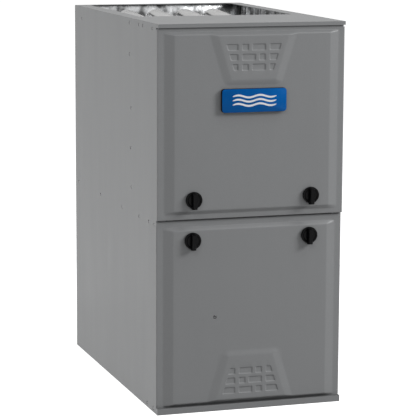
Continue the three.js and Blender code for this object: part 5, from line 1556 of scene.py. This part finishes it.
@dataclass
class Exchanger:
    """Four serpentine tubes, the coupling box, the finned coil and the condensate parts."""

    tube_radius: float = 22 * MM
    tube_wall: float = 1.5 * MM
    tube_bend: float = 33 * MM
    tube_ends: tuple[float, float] = (-4.6 * MM, -14.98 * MM)
    tube_reach: float = 446.4 * MM
    tube_return: float = 40.4 * MM
    tube_level: float = 838 * MM
    tube_tilt: float = math.radians(3.0)
    bend_steps: int = 28
    ripple: float = 0.55 * MM
    fin_pitch: float = 5.2 * MM
    fin_thickness: float = 0.5 * MM
    coil_radius: float = 6.5 * MM
    box_top: float = 0.667

    def build(self) -> None:
        """Makes the tubes and dresses what joins them."""
        panel = Extent.of("cell_panel")
        self.start = (panel.high.y - SHEET + panel.high.y) / 2
        for number in range(1, 5):
            self._tube(f"exchanger_tube_{number}")
        self._box("coupling_box", ALUMINISED, 3)
        self._box("condensate_collector", INNER_PLASTIC)
        self._coil()
        self._trap()

    def _route(self, x: float) -> list[Vector]:
        """A tube's middle line, from the burner to the coupling box."""
        first, last = self.tube_ends
        drop = 2 * self.tube_bend
        corners = [
            (first, 0), (self.tube_reach, 0), (self.tube_reach, -drop), (self.tube_return, -drop),
            (self.tube_return, -2 * drop), (self.tube_reach, -2 * drop), (self.tube_reach, -3 * drop),
            (last, -3 * drop),
        ]
        cosine, sine = math.cos(self.tube_tilt), math.sin(self.tube_tilt)
        places = []
        for back, rise in corners:
            y = self.start + back * cosine - rise * sine
            places.append((x, y, self.tube_level + back * sine + rise * cosine))
        return rounded(places, self.tube_bend - 0.01 * MM, self.bend_steps)

    def _wrinkle(self, route: Sequence[Vector]) -> Callable[[int], float]:
        """The ripples that bending leaves in the tube's wall, by station."""
        short = 4 * MM
        bent = [
            min((place - near).length for near in (route[max(k - 1, 0)], route[min(k + 1, len(route) - 1)])
                if near is not place) < short
            for k, place in enumerate(route)
        ]
        return lambda station: self.ripple * math.sin(station * math.pi / 2) if bent[station] else 0.0

    def _tube(self, node: str) -> None:
        """Makes one tube with its crimp rings."""
        extent = Extent.of(node)
        route = self._route(extent.middle.x)
        form = Form()
        bore = self.tube_radius - self.tube_wall
        form.pipe(route, self.tube_radius - self.ripple, 28, bore - self.ripple, self._wrinkle(route))
        for end, near in ((0, 1), (-1, -2)):
            way = (route[near] - route[end]).normalized()
            for reach in (12 * MM, 17 * MM):
                ring = [route[end] + way * (reach + shift) for shift in (-2 * MM, 2 * MM)]
                form.pipe(ring, self.tube_radius + 0.6 * MM, 28)
        form.done(f"{node}_pipe", ALUMINISED, replaces=[node], sharp=50)

    def _box(self, node: str, finish: Finish, ribs: int = 0) -> None:
        """Dresses a box, raises any ribs on its front and adds two rows of screws to it."""
        extent = Extent.of(node)
        dress(node, finish, 1.2 * MM)
        form = Form()
        high = min(extent.high.z, self.box_top)
        pitch = extent.size.x * 0.84 / max(ribs, 1)
        for x in spread(ribs, pitch):
            low = (x - pitch * 0.36, extent.low.y + MM, extent.low.z + 14 * MM)
            top = (x + pitch * 0.36, extent.low.y + 3 * MM, high - 14 * MM)
            form.block(low, top, 0.9 * MM)
        for x in spread(7, extent.size.x * 0.94 / 6):
            for z in (extent.low.z + 5 * MM, high - 5 * MM):
                form.screw((x, extent.low.y + 0.4 * MM, z), Axis.Y, -1, 2.6 * MM)
        bmesh.ops.translate(form.mesh, verts=form.mesh.verts[:], vec=(0, 2.4 * MM, 0))
        form.done(f"{node}_trim", finish if ribs else ZINC_SCREW)

    def _coil(self) -> None:
        """Fine fins threaded by four rows of tubes, between two side plates, and a header in front."""
        extent = Extent.of("secondary_coil")
        low, high = extent.low, extent.high
        tail = 34 * MM
        back, front = high.y - 4 * MM, low.y + tail
        form = Form()
        count = int((high.x - low.x - 12 * MM) / self.fin_pitch)
        for x in spread(count, self.fin_pitch):
            half = self.fin_thickness / 2
            form.block((x - half, front, low.z + 2 * MM), (x + half, back, high.z - 2 * MM), 0.0)
        form.done("coil_fins", ZINC, replaces=["secondary_coil"])
        frames = Form()
        for side in (-1, 1):
            x = side * (high.x - 2.0 * MM)
            frames.block((x - 2 * MM, front - 2 * MM, low.z), (x + 2 * MM, high.y, high.z), 0.8 * MM)
        header = 150 * MM
        frames.block((-header, low.y, low.z + 4 * MM), (header, low.y + tail, high.z - 4 * MM), 2.4 * MM)
        frames.done("coil_frame", STAINLESS)
        tubes = Form()
        for level, z in enumerate(spread(4, 29 * MM)):
            for y in spread(8, 42 * MM):
                shift = 10 * MM if level % 2 else -10 * MM
                place = (front + back) / 2 + y + shift
                if front + 8 * MM < place < back - 8 * MM:
                    middle = (low.z + high.z) / 2 + z
                    ends = [Vector((side * (high.x - 0.6 * MM), place, middle)) for side in (-1, 1)]
                    tubes.pipe(ends, self.coil_radius, 14)
        tubes.done("coil_tubes", STAINLESS)

    def _trap(self) -> None:
        """Moulded trap with a parting seam."""
        dress("condensate_trap", INNER_PLASTIC, 1.6 * MM)
        extent = Extent.of("condensate_trap")
        form = Form()
        middle = (extent.low.z + extent.high.z) / 2 + 6 * MM
        low = (extent.low.x + 6 * MM, extent.low.y + 0.2 * MM, middle - 3 * MM)
        high = (extent.high.x - 6 * MM, extent.low.y + 2 * MM, middle + 3 * MM)
        form.block(low, high, 0.8 * MM)
        form.done("trap_seam", INNER_PLASTIC)


# ------------------------------------------------------------------ draught inducer


@dataclass
class Inducer:
    """Draught inducer's housing, wheel and motor, and the vent pipe."""

    axis_z: float = 520 * MM
    blades: int = 24
    motor_vents: int = 14
    screw_circle: float = 66 * MM
    outlet_rise: float = 40 * MM

    def build(self) -> None:
        """Makes the inducer."""
        dress("inducer_housing", INNER_PLASTIC, 1.2 * MM)
        self._wheel()
        self._motor()
        self._vent()
        self._lugs()

    def _wheel(self) -> None:
        """Thin curved blades on a dished disc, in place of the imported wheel."""
        extent = Extent.of("inducer_wheel")
        radius = extent.size.x / 2
        y_low, y_high = extent.low.y, extent.high.y
        middle = (extent.middle.x, 0, extent.middle.z)
        form = Form()
        disc = y_low + 2 * MM
        form.rod(radius, y_low, disc, Axis.Y, middle, 48)
        form.rod(min(10 * MM, radius * 0.25), y_low, y_high, Axis.Y, middle, 24)
        for k in range(self.blades):
            self._blade(form, middle, 2 * math.pi * k / self.blades, radius, disc, y_high)
        rim = radius - 1.5 * MM
        profile = [(rim, y_high - 2 * MM), (radius, y_high - 2 * MM), (radius, y_high), (rim, y_high)]
        form.lathe([*profile, profile[0]], Axis.Y, middle, 48)
        form.done("inducer_fan", GREY_PLASTIC, body_of("inducer_wheel"), ["inducer_wheel"])

    def _blade(
        self, form: Form, middle: Point, start: float, radius: float, low: float, high: float
    ) -> None:
        """Adds one swept blade."""
        outline = []
        steps = 5
        for side in (0.0, 1.0):
            row = []
            for k in range(steps + 1):
                share = k / steps
                reach = radius * (0.5 + 0.48 * share)
                angle = start + 0.5 * share**1.5 + side * 0.9 * MM / reach
                row.append((middle[2] + reach * math.cos(angle), middle[0] + reach * math.sin(angle)))
            outline += row if side == 0 else row[::-1]
        form.prism(outline, Axis.Y, low - 0.2 * MM, high - 0.2 * MM)

    def _motor(self) -> None:
        """Black motor with a ring of vents."""
        extent = Extent.of("inducer_motor")
        radius = extent.size.x / 2
        low, high = extent.low.y, extent.high.y
        z = extent.middle.z
        x = extent.middle.x
        form = Form()
        profile = [
            (0, low), (radius * 0.22, low), (radius * 0.24, low + 3 * MM), (radius * 0.62, low + 3.5 * MM),
            (radius * 0.86, low + 6 * MM), (radius * 0.97, low + 11 * MM), (radius * 0.97, low + 30 * MM),
            (radius, low + 31 * MM), (radius, low + 44 * MM), (radius * 0.97, low + 45 * MM),
            (radius * 0.97, high - 10 * MM), (radius * 0.8, high - 4 * MM), (radius * 0.3, high), (0, high),
        ]
        form.lathe(profile, Axis.Y, (x, 0, z), 48)
        form.done("inducer_motor_shell", BLACK_STEEL, body_of("inducer_motor"), ["inducer_motor"])
        vents = Form()
        for u, v in circle(radius * 0.66, self.motor_vents):
            bar = radius * 0.05
            place = Vector((x + v, low + 3.9 * MM, z + u))
            outward = Vector((v, 0, u)).normalized() * radius * 0.15
            vents.pipe([place - outward, place + outward + Vector((0, 2.2 * MM, 0))], bar, 8)
        vents.done("inducer_motor_vents", INNER_PLASTIC, body_of("inducer_motor"))

    def _vent(self) -> None:
        """Smooth vent pipe with one bend."""
        extent = Extent.of("vent_pipe")
        radius, wall, bend = 30 * MM, 2.5 * MM, 45 * MM
        x = extent.low.x + radius
        y = extent.middle.y
        z_low = extent.low.z
        z_high = extent.high.z - radius
        corners = [(x, y, z_low), (x, y, z_high), (extent.high.x, y, z_high)]
        route = rounded(corners, bend, 14)
        form = Form().pipe(route, radius, 40, radius - wall)
        form.done("vent_tube", WHITE_PLASTIC, replaces=["vent_pipe"], sharp=50)

    def _lugs(self) -> None:
        """Screws round the housing, but for its outlet."""
        front = Extent.of("inducer_housing").low.y + 2.4 * MM
        form = Form()
        for u, v in circle(self.screw_circle, 8, 0.3):
            if v < self.outlet_rise:
                form.screw((u, front, self.axis_z + v), Axis.Y, -1, 3 * MM)
        form.done("inducer_screws", ZINC_SCREW)


# ------------------------------------------------------------------ gas train


@dataclass
class GasTrain:
    """Burners, manifold, gas valve, igniter, flame sensor and safety switches."""

    burner_line: float = 838 * MM
    mouth: float = 17 * MM
    throat: float = 11.5 * MM
    head: float = 20 * MM
    manifold_radius: float = 10.7 * MM
    manifold_bend: float = 24 * MM
    switch_level: float = 0.640

    def build(self) -> None:
        """Makes the gas train."""
        for number in range(1, 5):
            self._burner(f"burner_{number}")
        dress("burner_rack", ALUMINISED, 0.8 * MM)
        self._manifold()
        self._valve()
        self._valve_knob()
        for node in ("igniter", "flame_sensor"):
            self._probe(node)
        for node in ("rollout_switch", "limit_switch"):
            self._thermostat(node)
        self._pressure_switch()

    def _burner(self, node: str) -> None:
        """Venturi burner with a flared mouth, a throat and a crimped head."""
        extent = Extent.of(node)
        x, front, rear = extent.middle.x, extent.low.y, extent.high.y
        length = rear - front
        wall = 1.2 * MM
        places = (
            (0.0, self.mouth), (0.03, self.mouth - 0.3 * MM), (0.10, self.mouth * 0.86),
            (0.20, self.throat * 1.1), (0.28, self.throat), (0.42, self.throat * 1.08),
            (0.58, self.throat * 1.4), (0.72, self.head * 0.97), (0.78, self.head), (1.0, self.head),
        )
        outer = [(radius, front + share * length) for share, radius in places]
        inner = [(radius - wall, along) for radius, along in reversed(outer)]
        form = Form().lathe([*outer, *inner, outer[0]], Axis.Y, (x, 0, self.burner_line), 36)
        for k in range(3):
            place = rear - (6 + 5 * k) * MM
            ring = [(self.head - 0.4 * MM, place - MM), (self.head, place)]
            ring += [(self.head - 0.4 * MM, place + MM), ring[0]]
            form.lathe(ring, Axis.Y, (x, 0, self.burner_line), 36)
        form.done(f"{node}_venturi", ALUMINISED, replaces=[node], sharp=50)

    def _manifold(self) -> None:
        """Manifold pipe with hexagon spuds at the burners."""
        extent = Extent.of("gas_manifold")
        y = extent.low.y + self.manifold_radius
        corners = [
            (extent.high.x - self.manifold_radius, y, extent.low.z),
            (extent.high.x - self.manifold_radius, y, self.burner_line),
            (extent.low.x, y, self.burner_line),
        ]
        form = Form().pipe(rounded(corners, self.manifold_bend, 10), self.manifold_radius, 24)
        form.done("manifold_pipe", PIPE_STEEL, replaces=["gas_manifold"], sharp=50)
        spuds = Form()
        for number in range(1, 5):
            x = Extent.of(f"burner_{number}").middle.x
            tip = extent.high.y
            base = y + 7 * MM
            spuds.rod(6.2 * MM, base, tip - 5 * MM, Axis.Y, (x, 0, self.burner_line), 6)
            profile = [(0, base), (3.6 * MM, base), (3.6 * MM, tip - MM), (2 * MM, tip), (0, tip)]
            spuds.lathe(profile, Axis.Y, (x, 0, self.burner_line), 20)
        spuds.done("burner_spuds", BRASS)

    def _valve(self) -> None:
        """Dresses the valve's body and adds its four screws."""
        dress("gas_valve", CAST_METAL, 1.6 * MM)
        front = Extent.of("gas_valve").low.y + 2.4 * MM
        form = Form()
        for x in (96 * MM, 144 * MM):
            for z in (718 * MM, 778 * MM):
                form.screw((x, front, z), Axis.Y, -1, 2.9 * MM)
        form.done("valve_screws", ZINC_SCREW)

    def _valve_knob(self) -> None:
        """Turning knob with a fluted rim and a pointer bar."""
        node = "gas_valve_knob"
        extent = Extent.of(node)
        radius = extent.size.z / 2
        front, rear = extent.low.y, extent.high.y
        middle = (extent.middle.x, 0, extent.middle.z)
        form = Form()
        skirt = front + (rear - front) * 0.55
        form.lathe(
            [(0, skirt), (radius - MM, skirt), (radius, skirt + MM), (radius, rear), (0, rear)],
            Axis.Y, middle, 40,
        )
        outline = []
        for k in range(48):
            reach = radius * (0.74 if k % 4 < 2 else 0.69)
            angle = 2 * math.pi * k / 48
            outline.append((middle[2] + reach * math.cos(angle), middle[0] + reach * math.sin(angle)))
        form.prism(outline, Axis.Y, front + 1.2 * MM, skirt + 0.5 * MM, 0.3 * MM)
        low = (middle[0] - 1.6 * MM, front, middle[2] - radius * 0.1)
        form.block(low, (middle[0] + 1.6 * MM, front + 2.4 * MM, middle[2] + radius * 0.66), 0.5 * MM)
        form.done("valve_knob_moulding", BLACK_PLASTIC, body_of(node), [node])

    def _probe(self, node: str) -> None:
        """Ceramic body with a bracket."""
        extent = Extent.of(node)
        dress(node, CERAMIC, 0.5 * MM)
        form = Form()
        z = extent.middle.z
        low = (extent.middle.x - 7 * MM, extent.low.y + 11 * MM, z - 4 * MM)
        form.block(low, (extent.middle.x + 7 * MM, extent.low.y + 12.2 * MM, z + 4 * MM), 0.4 * MM)
        form.done(f"{node}_bracket", ZINC)

    def _thermostat(self, node: str) -> None:
        """Round safety switch: a dressed body and a bright flange."""
        dress(node, INNER_PLASTIC, 0.6 * MM)
        extent = Extent.of(node)
        radius = extent.size.x / 2 * 0.99
        middle = (extent.middle.x, 0, extent.middle.z)
        form = Form().rod(radius, extent.high.y - 1.4 * MM, extent.high.y, Axis.Y, middle, 28)
        form.done(f"{node}_flange", ALUMINISED)

    def _pressure_switch(self) -> None:
        """Dresses the switch, adds the screws of its rim and lays its hose."""
        node = "pressure_switch"
        dress(node, GREY_PLASTIC, 1.0 * MM)
        extent = Extent.of(node)
        form = Form()
        for u, v in circle(40 * MM * 0.88, 6, 0.2):
            place = (extent.high.x - 3.0 * MM, extent.middle.y + u, self.switch_level + v)
            form.screw(place, Axis.X, 1, 2.4 * MM)
        form.done("pressure_switch_screws", ZINC_SCREW)
        tube = Extent.of("pressure_tube")
        left, right, front, level = -206.75 * MM, -111 * MM, -244.15 * MM, 520 * MM
        corners = [
            (left, front, tube.high.z), (left, front, level), (right, front, level),
            (right, tube.high.y, level),
        ]
        hose = Form().pipe(rounded(corners, 18 * MM, 10), 4 * MM, 16)
        hose.done("pressure_hose", RUBBER, replaces=["pressure_tube"])


# ------------------------------------------------------------------ blower


@dataclass
class Blower:
    """Circulating air blower: scroll housing, bladed wheel, motor and its mount."""

    blades: int = 48
    blade_depth: float = 11 * MM
    motor_vents: int = 16
    inlet: float = 97.9 * MM
    inlet_roll: float = 4 * MM
    wall: float = 115 * MM

    def build(self) -> None:
        """Makes the blower."""
        dress("blower_housing", ZINC, 0.6 * MM)
        self.wheel = Extent.of("blower_wheel")
        self.middle = (0.0, self.wheel.middle.y, self.wheel.middle.z)
        self._wheel()
        self._inlets()
        self._motor()
        dress("blower_shaft", STAINLESS, 0.4 * MM)
        dress("motor_mount", ZINC, 0.5 * MM)

    def _wheel(self) -> None:
        """Forward curved blades between two end rings, on a centre disc."""
        low, high = self.wheel.low.x, self.wheel.high.x
        radius = self.wheel.size.z / 2
        form = Form()
        inner = radius - self.blade_depth
        for start, end in ((low, low + 3 * MM), (high - 3 * MM, high)):
            ring = [(inner, start), (radius, start), (radius, end), (inner, end)]
            form.lathe([*ring, ring[0]], Axis.X, self.middle, 64)
        form.rod(radius, -22.5 * MM, -20 * MM, Axis.X, self.middle, 64)
        form.rod(15 * MM, low + 52 * MM, 2 * MM, Axis.X, self.middle, 24)
        for k in range(self.blades):
            self._blade(form, 2 * math.pi * k / self.blades, inner, radius, low + MM, high - MM)
        form.done("blower_cage", ZINC, body_of("blower_wheel"), ["blower_wheel"])

    def _blade(self, form: Form, start: float, inner: float, outer: float, low: float, high: float) -> None:
        """Adds one curved blade."""
        outline = []
        steps = 4
        for side in (0, 1):
            row = []
            for k in range(steps + 1):
                share = k / steps
                reach = inner + 0.5 * MM + (outer - inner - MM) * share
                angle = start + 0.11 * share**1.6 + side * 0.7 * MM / reach
                y = self.middle[1] + reach * math.cos(angle)
                z = self.middle[2] + reach * math.sin(angle)
                row.append((y, z))
            outline += row if side == 0 else row[::-1]
        form.prism(outline, Axis.X, low, high)

    def _inlets(self) -> None:
        """Rolled venturi rings at both inlets."""
        form = Form()
        roll = self.inlet_roll
        steps = 8
        for side in (-1, 1):
            profile = []
            for k in range(steps + 1):
                angle = math.pi * k / steps
                radius = self.inlet + roll - roll * math.cos(angle)
                profile.append((radius, side * (self.wall - MM + roll * math.sin(angle))))
            form.lathe([*profile, profile[0]], Axis.X, self.middle, 64)
        form.done("blower_inlet_rings", ZINC)

    def _motor(self) -> None:
        """Black motor with a ring of vents in one end."""
        node = "blower_motor"
        extent = Extent.of(node)
        radius = extent.size.z / 2
        low, high = extent.low.x, extent.high.x
        form = Form()
        profile = [
            (0, low), (radius * 0.3, low), (radius * 0.34, low + 4 * MM), (radius * 0.8, low + 7 * MM),
            (radius * 0.96, low + 14 * MM), (radius * 0.96, low + 22 * MM), (radius, low + 23 * MM),
            (radius, high - 23 * MM), (radius * 0.96, high - 22 * MM), (radius * 0.96, high - 12 * MM),
            (radius * 0.8, high - 4 * MM), (radius * 0.34, high - 2 * MM), (radius * 0.3, high), (0, high),
        ]
        form.lathe(profile, Axis.X, self.middle, 56)
        form.done("blower_motor_shell", BLACK_STEEL, replaces=[node])
        vents = Form()
        for u, v in circle(radius * 0.62, self.motor_vents):
            place = Vector((high - 3.6 * MM, self.middle[1] + u, self.middle[2] + v))
            outward = Vector((0, u, v)).normalized() * radius * 0.12
            vents.pipe([place - outward, place + outward - Vector((1.6 * MM, 0, 0))], radius * 0.04, 8)
        vents.done("blower_motor_vents", INNER_PLASTIC)


# ------------------------------------------------------------------ controls


@dataclass
class Controls:
    """Control board, transformer, junction box, door switch and wiring."""

    harness_bend: float = 22 * MM

    def build(self) -> None:
        """Makes the controls."""
        dress("control_bracket", ZINC, 0.5 * MM)
        self._board()
        self._transformer()
        self._junction_box()
        dress("door_switch", INNER_PLASTIC, 1.0 * MM)
        self._plunger()
        self._wires()

    def _board(self) -> None:
        """Board with relays, connectors, a processor, capacitors and blade terminals."""
        node = "control_board"
        extent = Extent.of(node)
        x_half, low, high = 90 * MM, 298 * MM, 416 * MM
        face = -266.05 * MM
        rear = extent.high.y
        plate = Form()
        plate.block((-x_half, face, low), (x_half, face + 2 * MM, high), 0.3 * MM)
        for x in (-x_half + 8 * MM, x_half - 8 * MM):
            for z in (low + 8 * MM, high - 8 * MM):
                plate.rod(3 * MM, face, rear, Axis.Y, (x, 0, z), 12)
        plate.done("board_plate", BOARD, replaces=[node])
        relays = Form()
        for x in spread(4, 34 * MM):
            corner = (x + 12 * MM, face, high - 12 * MM)
            relays.block((x - 12 * MM, extent.low.y, high - 40 * MM), corner, 0.9 * MM)
        chip = (10 * MM, face - 2.2 * MM, low + 46 * MM)
        relays.block(chip, (30 * MM, face, low + 62 * MM), 0.3 * MM)
        relays.block((-34 * MM, face - 3 * MM, low + 20 * MM), (-20 * MM, face, low + 28 * MM), 0.3 * MM)
        relays.done("board_relays", INNER_PLASTIC)
        plugs = Form()
        for x, width in ((-66 * MM, 34 * MM), (-20 * MM, 26 * MM), (40 * MM, 44 * MM)):
            plugs.block((x, face - 10 * MM, low + 5 * MM), (x + width, face, low + 15 * MM), 0.5 * MM)
        plugs.block((-86 * MM, face - 9 * MM, low + 46 * MM), (-76 * MM, face, low + 78 * MM), 0.5 * MM)
        plugs.done("board_connectors", WHITE_PLASTIC)
        cans = Form()
        for x, z, radius in ((-50, 40, 6), (-36, 44, 5), (58, 44, 6), (72, 34, 4), (72, 48, 4)):
            centre = (x * MM, 0, low + z * MM)
            r = radius * MM
            top = face - 12 * MM
            cans.lathe([(0, top), (r * 0.9, top), (r, top + MM), (r, face), (0, face)], Axis.Y, centre, 20)
        cans.done("board_capacitors", STAINLESS)
        blades = Form()
        for x in spread(9, 7 * MM):
            place = x + 12 * MM
            corner = (place + 0.5 * MM, face, low + 31 * MM)
            blades.block((place - 0.5 * MM, face - 7 * MM, low + 26 * MM), corner, 0.1 * MM)
        blades.done("board_terminals", BRASS)

    def _transformer(self) -> None:
        """Laminated core on a mounting plate, with a taped coil."""
        node = "transformer"
        extent = Extent.of(node)
        low, high = extent.low, extent.high
        plates = Form()
        count = 17
        span = (high.y - low.y) * 0.5
        middle = (low.y + high.y) / 2
        for y in spread(count, span / count):
            half = span / count * 0.42
            corner = (high.x - 8 * MM, middle + y + half, high.z)
            plates.block((low.x + 8 * MM, middle + y - half, low.z), corner, 0.0)
        plates.block((low.x, high.y - 2 * MM, low.z + 2 * MM), (high.x, high.y, high.z - 2 * MM), 0.4 * MM)
        plates.done("transformer_core", BLACK_STEEL, replaces=[node])
        coil = Form()
        corner = (high.x - 19 * MM, high.y - 3 * MM, high.z - 8 * MM)
        coil.block((low.x + 19 * MM, low.y, low.z + 8 * MM), corner, 4 * MM, 4)
        coil.done("transformer_coil", YELLOW_TAPE)

    def _junction_box(self) -> None:
        """Dressed box with two screws in its front."""
        node = "junction_box"
        dress(node, ZINC, 0.8 * MM)
        extent = Extent.of(node)
        form = Form()
        for z in (extent.low.z + 7 * MM, extent.high.z - 7 * MM):
            form.screw((extent.middle.x, extent.low.y + 2.6 * MM, z), Axis.Y, -1, 3 * MM)
        form.done("junction_box_screws", ZINC_SCREW)

    def _plunger(self) -> None:
        """Smooth plunger with a domed tip."""
        node = "door_switch_plunger"
        extent = Extent.of(node)
        radius = min(extent.size.x, extent.size.z) / 2
        front, rear = extent.low.y, extent.high.y
        middle = extent.middle
        profile = [
            (0, front), (radius * 0.6, front + 0.4 * MM), (radius * 0.92, front + 1.6 * MM),
            (radius, front + 3 * MM), (radius, rear), (0, rear),
        ]
        form = Form().lathe(profile, Axis.Y, (middle.x, 0, middle.z), 24)
        form.done("plunger_pin", WHITE_PLASTIC, body_of(node), [node])

    def _wires(self) -> None:
        """Smooth harness and motor lead, held at both ends."""
        harness = [
            (-90.3, -275.05, 357), (-160, -275.05, 357), (-160, -275.05, 520), (-42.8, -275.05, 520),
        ]
        lead = [
            (90.3, -275.05, 357), (149, -275.05, 357), (149, 35.85, 357), (149, 35.85, 215),
            (118.3, 35.85, 215),
        ]
        for node, corners, radius in (("control_harness", harness, 6 * MM), ("motor_lead", lead, 5 * MM)):
            route = rounded([[part * MM for part in corner] for corner in corners], self.harness_bend, 10)
            form = Form().pipe(route, radius, 18)
            form.done(f"{node}_sleeve", RUBBER, replaces=[node])


# ------------------------------------------------------------------ studio


@dataclass
class Studio:
    """Camera, lamps, pale floor and white surroundings."""

    image: int = 420
    focal_pixels: float = 1990.88
    sensor: float = 36.0
    eye: tuple[float, float, float] = (-1.46864, -4.57885, 1.19018)
    target: tuple[float, float, float] = (-0.09994, -0.36415, 0.46914)
    roll: float = 0.0046
    ambient: float = 0.30
    glow: float = 0.86
    aim: tuple[float, float, float] = (0.0, -0.1, 0.45)

    def build(self) -> None:
        """Sets everything up."""
        self._camera()
        self._world()
        self._floor()
        self._lamps()
        bpy.context.scene.view_settings.view_transform = "Standard"

    def _camera(self) -> None:
        """Places the camera at the photograph's viewpoint."""
        data = bpy.data.cameras.new("camera")
        data.lens = self.focal_pixels / self.image * self.sensor
        data.sensor_width = self.sensor
        data.sensor_fit = "HORIZONTAL"
        data.clip_end = 50
        camera = linked("camera", data)
        ahead = (Vector(self.target) - Vector(self.eye)).normalized()
        right = ahead.cross(Vector((0, 0, 1))).normalized()
        up = right.cross(ahead)
        turned = right * math.cos(self.roll) + up * math.sin(self.roll)
        raised = turned.cross(ahead)
        rotation = Matrix((turned, raised, -ahead)).transposed()
        camera.matrix_world = Matrix.Translation(self.eye) @ rotation.to_4x4()
        bpy.context.scene.camera = camera

    def _world(self) -> None:
        """White to the eye and in reflections, a plain grey light elsewhere."""
        surface = Surface("surroundings", world=True)
        bpy.context.scene.world = surface.owner
        sockets = {"Value": surface.seen(), "To Min": self.ambient, "To Max": 1.0}
        level = surface.node("ShaderNodeMapRange", None, sockets)
        background = surface.node("ShaderNodeBackground", None, {"Strength": level})
        surface.node("ShaderNodeOutputWorld", None, {"Surface": background})

    def _floor(self) -> None:
        """A wide pale floor that keeps the furnace's shadow."""
        form = Form()
        form.block((-30, -30, -0.02), (30, 30, -0.0008), 0.0)
        surface = Surface("pale_floor")
        diffuse = surface.node("ShaderNodeBsdfDiffuse", None, {"Color": (0.9, 0.9, 0.9, 1)})
        low = surface.node("ShaderNodeBsdfDiffuse", None, {"Color": (0.22, 0.22, 0.22, 1)})
        glow = surface.node("ShaderNodeEmission", None, {"Color": (1, 1, 1, 1), "Strength": self.glow})
        bright = surface.node("ShaderNodeAddShader", None, {0: diffuse, 1: glow})
        mixed = surface.node("ShaderNodeMixShader", None, {0: surface.seen(), 1: low, 2: bright})
        surface.node("ShaderNodeOutputMaterial", None, {"Surface": mixed})
        surface.owner.cycles.emission_sampling = "NONE"
        data = form.data("floor")
        data.materials.append(surface.owner)
        linked("floor", data)

    def _lamps(self) -> None:
        """A main light on the front right, a weak one above it and two broad weak ones on the left."""
        self._lamp("main", (3.4, -2.6, 2.6), 1.4, 120.0)
        self._lamp("high", (1.6, -1.5, 3.6), 1.4, 20.0)
        self._lamp("left", (-3.2, 0.3, 1.5), 2.0, 26.0)
        self._lamp("front_left", (-2.2, -3.2, 3.0), 1.6, 30.0)

    def _lamp(self, name: str, place: Point, size: float, power: float) -> None:
        """Adds a square lamp that faces the furnace.

        Args:
            name: The lamp's name.
            place: Where it hangs.
            size: Its side.
            power: Its power in watts.
        """
        data = bpy.data.lights.new(name, "AREA")
        data.shape = "SQUARE"
        data.size = size
        data.energy = power
        lamp = linked(name, data)
        ahead = Vector(self.aim) - Vector(place)
        lamp.location = place
        lamp.rotation_euler = ahead.to_track_quat("-Z", "Y").to_euler()


# ------------------------------------------------------------------ the whole furnace


def doors() -> list[PressedDoor | Badge | SightWindow | TurnKnob]:
    """The two doors with what they carry, as builders in order."""
    seam = Extent.of("upper_door").low.z - 1.3 * MM
    shaft, square, aside, apart = 5.0 * MM, 12 * MM, 140 * MM, 47 * MM
    knobs = [
        tuple(Hole(side * aside, seam + level * apart, shaft, square) for side in (-1, 1))
        for level in (1, -1)
    ]
    sight = Extent.of("sight_glass").middle
    cabinet_top = Extent.of("top_deck").high.z
    upper = PressedDoor(
        "upper_door", panel_up=True, bottom_border=11.7 * MM, bottom_bevel=9 * MM,
        top_border=14.5 * MM, top_bevel=5.5 * MM, notch=(cabinet_top - 12.5 * MM, cabinet_top),
        panel_length=115 * MM, first_slot=40.5 * MM, holes=knobs[0],
    )
    lower = PressedDoor(
        "lower_door", panel_up=False, bottom_border=11.5 * MM, bottom_bevel=7.5 * MM,
        top_border=14.7 * MM, top_bevel=8 * MM, notch=(0.0, 18.5 * MM),
        panel_length=117.5 * MM, first_slot=48.5 * MM,
        holes=(*knobs[1], Hole(sight.x, sight.z, 4.3 * MM, 8 * MM)),
    )
    names = [f"{level}_{side}_knob" for level in ("upper", "lower") for side in ("left", "right")]
    return [upper, lower, Badge(), SightWindow(), *[TurnKnob(name) for name in names]]


def main() -> None:
    """Builds the scene."""
    logging.basicConfig(level=logging.INFO, format="%(message)s")
    Studio().build()
    for part in (Cabinet(), *doors(), Exchanger(), Inducer(), GasTrain(), Blower(), Controls()):
        part.build()


if __name__ == "__main__":
    main()
